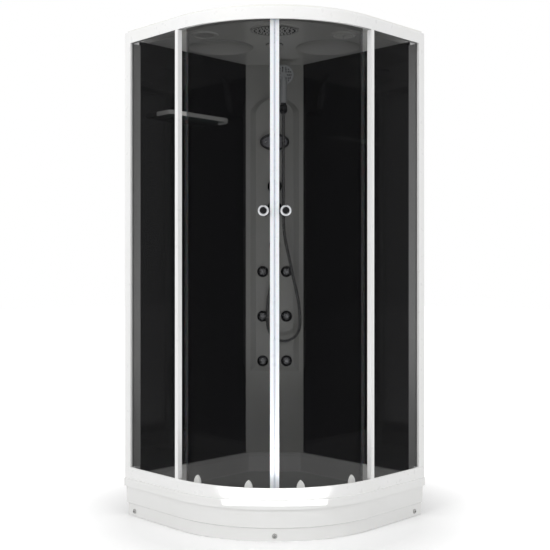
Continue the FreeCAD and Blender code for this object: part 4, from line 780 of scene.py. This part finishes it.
# %% [markdown]
# ### Overhead shower
# The oval plate has four rings of spray holes. In each sits a dark rubber nozzle, which a thumb
# can rub clean of lime, and a dark band runs round the plate's edge: painted shade of the gap
# between plate and ceiling. The band is a torus whose circle is led round the plate's own oval,
# made of four arcs that touch.

# %% Nozzles and band of the overhead shower
RAIN_RINGS = ((0.24, 10), (0.45, 18), (0.66, 28), (0.86, 36))
RAIN_OVAL = (95 * MM, 73.5 * MM, 49 * MM)
RAIN_STUD = (2.7 * MM, 2.6 * MM)
RAIN_GAP_THICK = 1.2 * MM
OVAL_STEPS = 72


def oval_point(angle, long, short, end_radius):
    """The point of a four-arc oval whose outside looks along this angle."""
    flank = ((long - end_radius) ** 2 + short ** 2 - end_radius ** 2) / (2 * (short - end_radius))
    change = math.atan2(flank - short, long - end_radius)
    x, y = math.cos(angle), math.sin(angle)
    if math.atan2(abs(y), abs(x)) < change:
        end_centre = math.copysign(long - end_radius, x)
        return Vector((end_centre + end_radius * x, end_radius * y, 0))
    return Vector((flank * x, flank * y - math.copysign(flank - short, y), 0))


def oval_band(oval, thick):
    """A round band, thick in radius, that follows an oval on the floor plane."""
    start_clean()
    bpy.ops.mesh.primitive_torus_add(major_segments=OVAL_STEPS, minor_segments=8,
                                     major_radius=1.0, minor_radius=thick)
    band = bpy.context.object
    for vertex in band.data.vertices:
        angle = math.atan2(vertex.co.y, vertex.co.x)
        out = math.hypot(vertex.co.x, vertex.co.y) - 1.0
        core = oval_point(angle, *oval)
        vertex.co.x = core.x + out * math.cos(angle)
        vertex.co.y = core.y + out * math.sin(angle)
    bpy.ops.object.shade_smooth()
    return band


def oval_places(oval, rings):
    """Places on smaller and smaller copies of an oval, from the share and count of each ring."""
    places = []
    for share, number in rings:
        for step in range(number):
            spot = oval_point(math.tau * (step + 0.5) / number - math.pi, *oval) * share
            places.append(Matrix.Translation(spot))
    return places


rain_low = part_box("rain_shower")[0][2]
rain_middle = middle("rain_shower")
hanging = Matrix.Rotation(math.radians(45), 4, "Z") @ Matrix.Rotation(math.radians(180), 4, "X")
rain_place = Matrix.Translation((rain_middle.x, rain_middle.y, rain_low)) @ hanging
rain_studs = copies_of(spray_stud(*RAIN_STUD), oval_places(RAIN_OVAL, RAIN_RINGS))
add_piece(set_down(rain_studs, rain_place), "rain_nozzles", spray_rubber, "root")
rain_gap_ring = oval_band(RAIN_OVAL, RAIN_GAP_THICK)
add_piece(set_down(rain_gap_ring, rain_place), "rain_gap_ring", rain_gap_painted_shade, "root")

# %% [markdown]
# ### Ceiling fittings
# The loudspeaker has rings of small sound holes behind its rim, and the lamp is sealed to the
# ceiling with a black ring. Holes this small read as dots, so each is a low black stud, whose
# black is painted shade of the hole. The ring is laid on an oval that is all but round, because
# the oval band can't be laid on a true circle.

# %% Sound holes and lamp seal
SOUND_RINGS = ((9, 6), (17, 12), (25, 18), (33, 24))
SOUND_HOLE = (1.7 * MM, 0.6 * MM, 8)
SOUND_SUNK = 2 * MM
LAMP_SEAL_GAPS = (1 * MM, 0.9 * MM)
LAMP_SEAL_END = 0.9
LAMP_SEAL_THICK = 1.6 * MM
LAMP_SEAL_BELOW = 1 * MM

speaker_middle = middle("ceiling_speaker")
sound_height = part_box("ceiling_speaker")[0][2] + SOUND_SUNK
sound_place = Matrix.Translation((speaker_middle.x, speaker_middle.y, sound_height)) @ hanging
sound_holes = copies_of(spray_stud(*SOUND_HOLE), rings_of_places(SOUND_RINGS))
set_down(sound_holes, sound_place)
add_piece(sound_holes, "sound_holes", dark_moulding_and_hole_shade, "root")

lamp_low, lamp_high = (Vector(corner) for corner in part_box("ceiling_lamp"))
lamp_radius = (lamp_high.x - lamp_low.x) / 2
lamp_middle = middle("ceiling_lamp")
seal_oval = (*(lamp_radius + gap for gap in LAMP_SEAL_GAPS), lamp_radius * LAMP_SEAL_END)
seal_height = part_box("ceiling")[0][2] - LAMP_SEAL_BELOW
lamp_seal = oval_band(seal_oval, LAMP_SEAL_THICK)
lamp_place = Matrix.Translation((lamp_middle.x, lamp_middle.y, seal_height)) @ hanging
add_piece(set_down(lamp_seal, lamp_place), "lamp_seal", dark_moulding_and_hole_shade, "root")

# %% [markdown]
# ### Control panel
# The oval housing has a chrome rim, darkened as painted shade, with a thin bright ring along it
# that is a painted highlight, and a grey plastic face lies in its recess. The power button comes
# up through a round hole in that face. The face is cut from an oval sheet with a Boolean, because
# the hole must leave the same even gap round the button at all sides.

# %% Panel face and trim
OUT_OF_COLUMN = Vector((DIAGONAL, -DIAGONAL, 0))
FACE_OVAL = (58 * MM, 29.6 * MM, 18.2 * MM)
FACE_THICK = 1.4 * MM
FACE_BEVEL = 0.4 * MM
BUTTON_ACROSS = -42 * MM
BUTTON_HOLE = 7 * MM
DRILL_LONG = 10 * MM
HIGHLIGHT_RING_OVAL = (62.4 * MM, 34 * MM, 22.6 * MM)
HIGHLIGHT_RING_THICK = 0.7 * MM
PANEL_HALF = 5.5 * MM
PANEL_RECESS = 3 * MM
HIGHLIGHT_RING_SUNK = 0.4 * MM


def panel_face():
    start_clean()
    bpy.ops.mesh.primitive_cylinder_add(vertices=OVAL_STEPS, radius=1, depth=FACE_THICK,
                                        location=(0, 0, FACE_THICK / 2))
    face = bpy.context.object
    settle(face)
    for vertex in face.data.vertices:
        edge = oval_point(math.atan2(vertex.co.y, vertex.co.x), *FACE_OVAL)
        vertex.co.x, vertex.co.y = edge.x, edge.y
    start_clean()
    bpy.ops.mesh.primitive_cylinder_add(vertices=36, radius=BUTTON_HOLE, depth=DRILL_LONG,
                                        location=(BUTTON_ACROSS, 0, 0))
    drill = bpy.context.object
    apply_modifier(face, "BOOLEAN", operation="DIFFERENCE", object=drill, solver="EXACT")
    bpy.data.objects.remove(drill)
    apply_modifier(face, "BEVEL", width=FACE_BEVEL, segments=2, limit_method="ANGLE")
    return face


def on_panel(sunk):
    """A place at the middle of the control panel, sunk below its front."""
    front = middle("control_panel") + OUT_OF_COLUMN * (PANEL_HALF - sunk)
    return Matrix.Translation(front) @ facing(COLUMN_TURN)


face = set_down(panel_face(), on_panel(PANEL_RECESS))
add_piece(face, "panel_face", panel_grey, "root")
# A bright chrome ring just inside the rim: painted highlight.
highlight_ring = set_down(oval_band(HIGHLIGHT_RING_OVAL, HIGHLIGHT_RING_THICK), on_panel(HIGHLIGHT_RING_SUNK))
add_piece(highlight_ring, "panel_highlight_ring", chrome_painted_highlight, "root")

# %% [markdown]
# ### Door knobs
# Each pull is a chrome ring round a dished middle for the thumb. The construction model has the
# ring and its recess, and a black dish is let into it here, on the outside and on the inside: its
# black is a painted reflection, the dark that the concave chrome middle mirrors.

# %% Knob dishes
ARC_CENTRE = Vector((-100 * MM, 100 * MM, 0))
DOOR_OUTER = 501.5 * MM
KNOB_FROM_EDGE = 41.5 * MM
KNOB_REACH = 24 * MM
DISH_SUNK = 3.2 * MM
DISH = {"radius": 12 * MM, "thick": 2.4 * MM, "rim": 1.2 * MM, "dish": 0.5 * MM}

for side, sign in (("left", -1), ("right", 1)):
    bearing = COLUMN_TURN + sign * math.degrees(KNOB_FROM_EDGE / DOOR_OUTER)
    outward = Vector((math.cos(math.radians(bearing)), math.sin(math.radians(bearing)), 0))
    height = Vector((0, 0, middle(f"{side}_door_knob").z))
    recess = ARC_CENTRE + outward * (DOOR_OUTER + KNOB_REACH - DISH_SUNK) + height
    dish = set_down(dished_disc(**DISH), Matrix.Translation(recess) @ facing(bearing))
    add_piece(dish, f"{side}_knob_dish", dish_painted_reflection, f"{side}_door")

# %% [markdown]
# ### Hand shower
# The spray head has three rings of soft nozzles, and the chrome nut and the ring that holds it are
# fluted for a wet hand. Flutes are ribs about the leaning axis of the handle. A rib is a small box
# with rounded edges, copied round the axis. The grip is a round shell over the handle, extruded
# ring by ring, and it gives the handle the width that the hand takes hold of.

# %% Grip, nozzles and flutes of the hand shower
HEAD_ALONG = 150 * MM
HEAD_PITCH = math.radians(114)
HEAD_FACE = 8.3 * MM
HEAD_RINGS = ((19, 7), (27, 11), (34.5, 15))
HEAD_STUD = (3.3 * MM, 2.4 * MM)
GRIP_PROFILE = ((25, 13.5), (32, 15.5), (60, 16), (95, 16.4), (112, 17), (122, 16), (127, 13))
GRIP_FIRST = 1.0
FLUTE_DEEP = 2 * MM
FLUTE_WIDE = 1.6 * MM
FLUTE_BEVEL = 0.6 * MM
NUT_FLUTES = {"number": 14, "radius": 9.3 * MM, "start": -27.5 * MM, "long": 11 * MM}
CRADLE_FLUTES = {"number": 18, "radius": 16.2 * MM, "start": -9 * MM, "long": 17 * MM}


def on_handle(along, pitch=HAND_LEAN):
    """A place on the hand shower's axis, a distance up from its cradle, turned by pitch."""
    out = GRIP_OUT + along * math.sin(HAND_LEAN)
    height = CRADLE_HEIGHT + along * math.cos(HAND_LEAN)
    turn = Matrix.Rotation(math.radians(COLUMN_TURN), 4, "Z") @ Matrix.Rotation(pitch, 4, "Y")
    return Matrix.Translation(plan_point(out, HAND_ACROSS, height)) @ turn


def flutes(number, radius, start, long):
    """Ribs about local Z, from a start height, on a radius."""
    start_clean()
    bpy.ops.mesh.primitive_cube_add(size=1, location=(radius, 0, start + long / 2),
                                    scale=(FLUTE_DEEP, FLUTE_WIDE, long))
    rib = bpy.context.object
    settle(rib)
    apply_modifier(rib, "BEVEL", width=FLUTE_BEVEL, segments=2)
    places = [Matrix.Rotation(math.tau * step / number, 4, "Z") for step in range(number)]
    return copies_of(rib, places)


def grip_shell(profile):
    """A round grip about local Z, through pairs of height and radius in millimetres."""
    start_clean()
    low, radius = profile[0]
    bpy.ops.mesh.primitive_cylinder_add(vertices=32, radius=radius * MM, depth=GRIP_FIRST * MM,
                                        location=(0, 0, (low - GRIP_FIRST / 2) * MM))
    grip = bpy.context.object
    settle(grip)
    top_face(grip)
    for height, wider in profile[1:]:
        rise = (0, 0, (height - low) * MM)
        bpy.ops.mesh.extrude_region_move(TRANSFORM_OT_translate={"value": rise})
        bpy.ops.transform.resize(value=(wider / radius, wider / radius, 1))
        low, radius = height, wider
    bpy.ops.object.mode_set(mode="OBJECT")
    bpy.ops.object.shade_smooth_by_angle(angle=math.radians(40))
    return grip


grip = set_down(grip_shell(GRIP_PROFILE), on_handle(0))
add_piece(grip, "hand_grip", handset_two_tone, "hand_shower")
head_studs = copies_of(spray_stud(*HEAD_STUD), rings_of_places(HEAD_RINGS))
set_down(head_studs, on_handle(HEAD_ALONG, HEAD_PITCH) @ Matrix.Translation((0, 0, HEAD_FACE)))
add_piece(head_studs, "head_nozzles", spray_rubber, "hand_shower")
nut_flutes = set_down(flutes(**NUT_FLUTES), on_handle(0))
add_piece(nut_flutes, "nut_flutes", chrome, "hand_shower")
cradle_flutes = set_down(flutes(**CRADLE_FLUTES), on_handle(0))
add_piece(cradle_flutes, "cradle_flutes", chrome, "handset_cradle")

# %% [markdown]
# ### Screw caps of the apron
# Each cap hides a screw head, and a driver goes through its middle. The socket is a black disc
# with a sunk face, let into the crown of the cap, and its black is painted shade of the hole.

# %% Sockets of the screw caps
CAP_HEIGHT = 23 * MM
CAP_OFFSET = 51 * MM
CAP_DEPTH = 17.5 * MM
CAP_CROWN = 4.6 * MM
CORNER_RADIUS = 550 * MM
SOCKET = {"radius": 4 * MM, "thick": 1.8 * MM, "rim": 0.5 * MM, "dish": 0.5 * MM, "sides": 6}

cap_rise = CAP_CROWN - CAP_DEPTH
left_cap = Vector((-HALF_SIDE + CAP_OFFSET, -HALF_SIDE - cap_rise, CAP_HEIGHT))
right_cap = Vector((HALF_SIDE + cap_rise, HALF_SIDE - CAP_OFFSET, CAP_HEIGHT))
front_cap = ARC_CENTRE + OUT_OF_COLUMN * (CORNER_RADIUS + cap_rise) + Vector((0, 0, CAP_HEIGHT))
cap_places = [
    Matrix.Translation(left_cap) @ facing(-90),
    Matrix.Translation(right_cap) @ facing(0),
    Matrix.Translation(front_cap) @ facing(COLUMN_TURN),
]
sockets = copies_of(dished_disc(**SOCKET), cap_places)
add_piece(sockets, "cap_sockets", dark_moulding_and_hole_shade, "root")

# %% [markdown]
# ## Studio
# The cabin stands on white, with a soft shadow under its apron. The sky is an even white that
# lights everything a little, two large soft lamps give the rounded front its shading, and a third
# hangs overhead. A small soft lamp lies in the tray and faces up, as a photographer puts one into
# a dark product, because the tinted glass keeps most of the studio's light from the ceiling. The
# floor is a pale grey that the lamps alone wouldn't bring to white, so the camera sees some white
# added to it, less near the tray: that smaller lift is painted shade round the cabin's foot, on
# top of the shadow that the lamps cast. Lamps are placed in metres and aimed in millimetres, as
# plan points are.

# %% Floor and lamps
WORLD_LIGHT = 0.62
FLOOR_SIDE = 40
SHADOW_NEAR = 0.6
SHADOW_FAR = 1.1
LIFT_NEAR = 0.18
LIFT_FAR = 0.62
CABIN_MIDDLE = (500, 0, 900)
CEILING_MIDDLE = (700, 0, 2000)
LAMPS = {
    "key_left": {"out": 3.6, "across": -2.4, "height": 2.4, "size": 1.8, "power": 54},
    "fill_right": {"out": 3.2, "across": 2.6, "height": 1.6, "size": 2.0, "power": 26},
    "overhead": {"out": 1.2, "across": 0.0, "height": 4.0, "size": 2.4, "power": 18},
    "in_tray": {"out": 0.95, "across": 0.0, "height": 0.13, "size": 0.4, "power": 3.7,
                "aim": CEILING_MIDDLE, "spread": 110},
}


def clear_view(owner):
    """One for what the camera sees straight, mirrored or through glass, and zero for the rest."""
    path = add(owner, "ShaderNodeLightPath")
    share = path.outputs["Is Camera Ray"]
    for kind in ("Is Glossy Ray", "Is Transmission Ray"):
        either = add(owner, "ShaderNodeMath", operation="MAXIMUM")
        wire(owner, share, either.inputs[0])
        wire(owner, path.outputs[kind], either.inputs[1])
        share = either.outputs[0]
    return share


def white_world():
    world = bpy.data.worlds.new("studio_white")
    world.use_nodes = True
    background = world.node_tree.nodes["Background"]
    tune(background, Color=(1, 1, 1, 1))
    strength = add(world, "ShaderNodeMapRange", To_Min=WORLD_LIGHT, To_Max=1.0)
    wire(world, clear_view(world), strength.inputs["Value"])
    wire(world, strength.outputs["Result"], background.inputs["Strength"])
    scene.world = world


def pale_floor():
    start_clean()
    bpy.ops.mesh.primitive_plane_add(size=FLOOR_SIDE, location=(0, 0, 0))
    floor = bpy.context.object
    floor.name = "studio_floor"
    material, shader = new_finish("floor_white", grey(0.8), 0.9)
    tune(shader, Specular_IOR_Level=0.0, Emission_Color=(1, 1, 1, 1))
    vary(material, shader, "Roughness", cloud(material, 0.3), 0.85, 0.95)
    where = add(material, "ShaderNodeTexCoord")
    away = add(material, "ShaderNodeVectorMath", operation="LENGTH")
    wire(material, where.outputs["Object"], away.inputs[0])
    # Less white is lifted in near the cabin: painted shade round its foot.
    grow = add(material, "ShaderNodeMapRange", From_Min=SHADOW_NEAR, From_Max=SHADOW_FAR,
               To_Min=LIFT_NEAR, To_Max=LIFT_FAR)
    wire(material, away.outputs["Value"], grow.inputs["Value"])
    lift = add(material, "ShaderNodeMath", operation="MULTIPLY")
    wire(material, clear_view(material), lift.inputs[0])
    wire(material, grow.outputs["Result"], lift.inputs[1])
    wire(material, lift.outputs[0], shader.inputs["Emission Strength"])
    dress(floor, material)


def soft_lamp(name, out, across, height, size, power, aim=CABIN_MIDDLE, spread=180):
    """A square soft lamp at a plan point, turned to a point of the cabin, spread in degrees."""
    data = bpy.data.lights.new(name, "AREA")
    data.size = size
    data.energy = power
    data.spread = math.radians(spread)
    lamp = bpy.data.objects.new(name, data)
    lamp.location = plan_point(out, across, height)
    lamp.rotation_euler = (point_mm(aim) - lamp.location).to_track_quat("-Z", "Y").to_euler()
    lamp.visible_glossy = False
    scene.collection.objects.link(lamp)
    return lamp


white_world()
pale_floor()
lamps = {name: soft_lamp(name, **settings) for name, settings in LAMPS.items()}
lamps["in_tray"].visible_camera = False
print("lamps and floor ready")

# %% View transform
scene.view_settings.view_transform = "Standard"
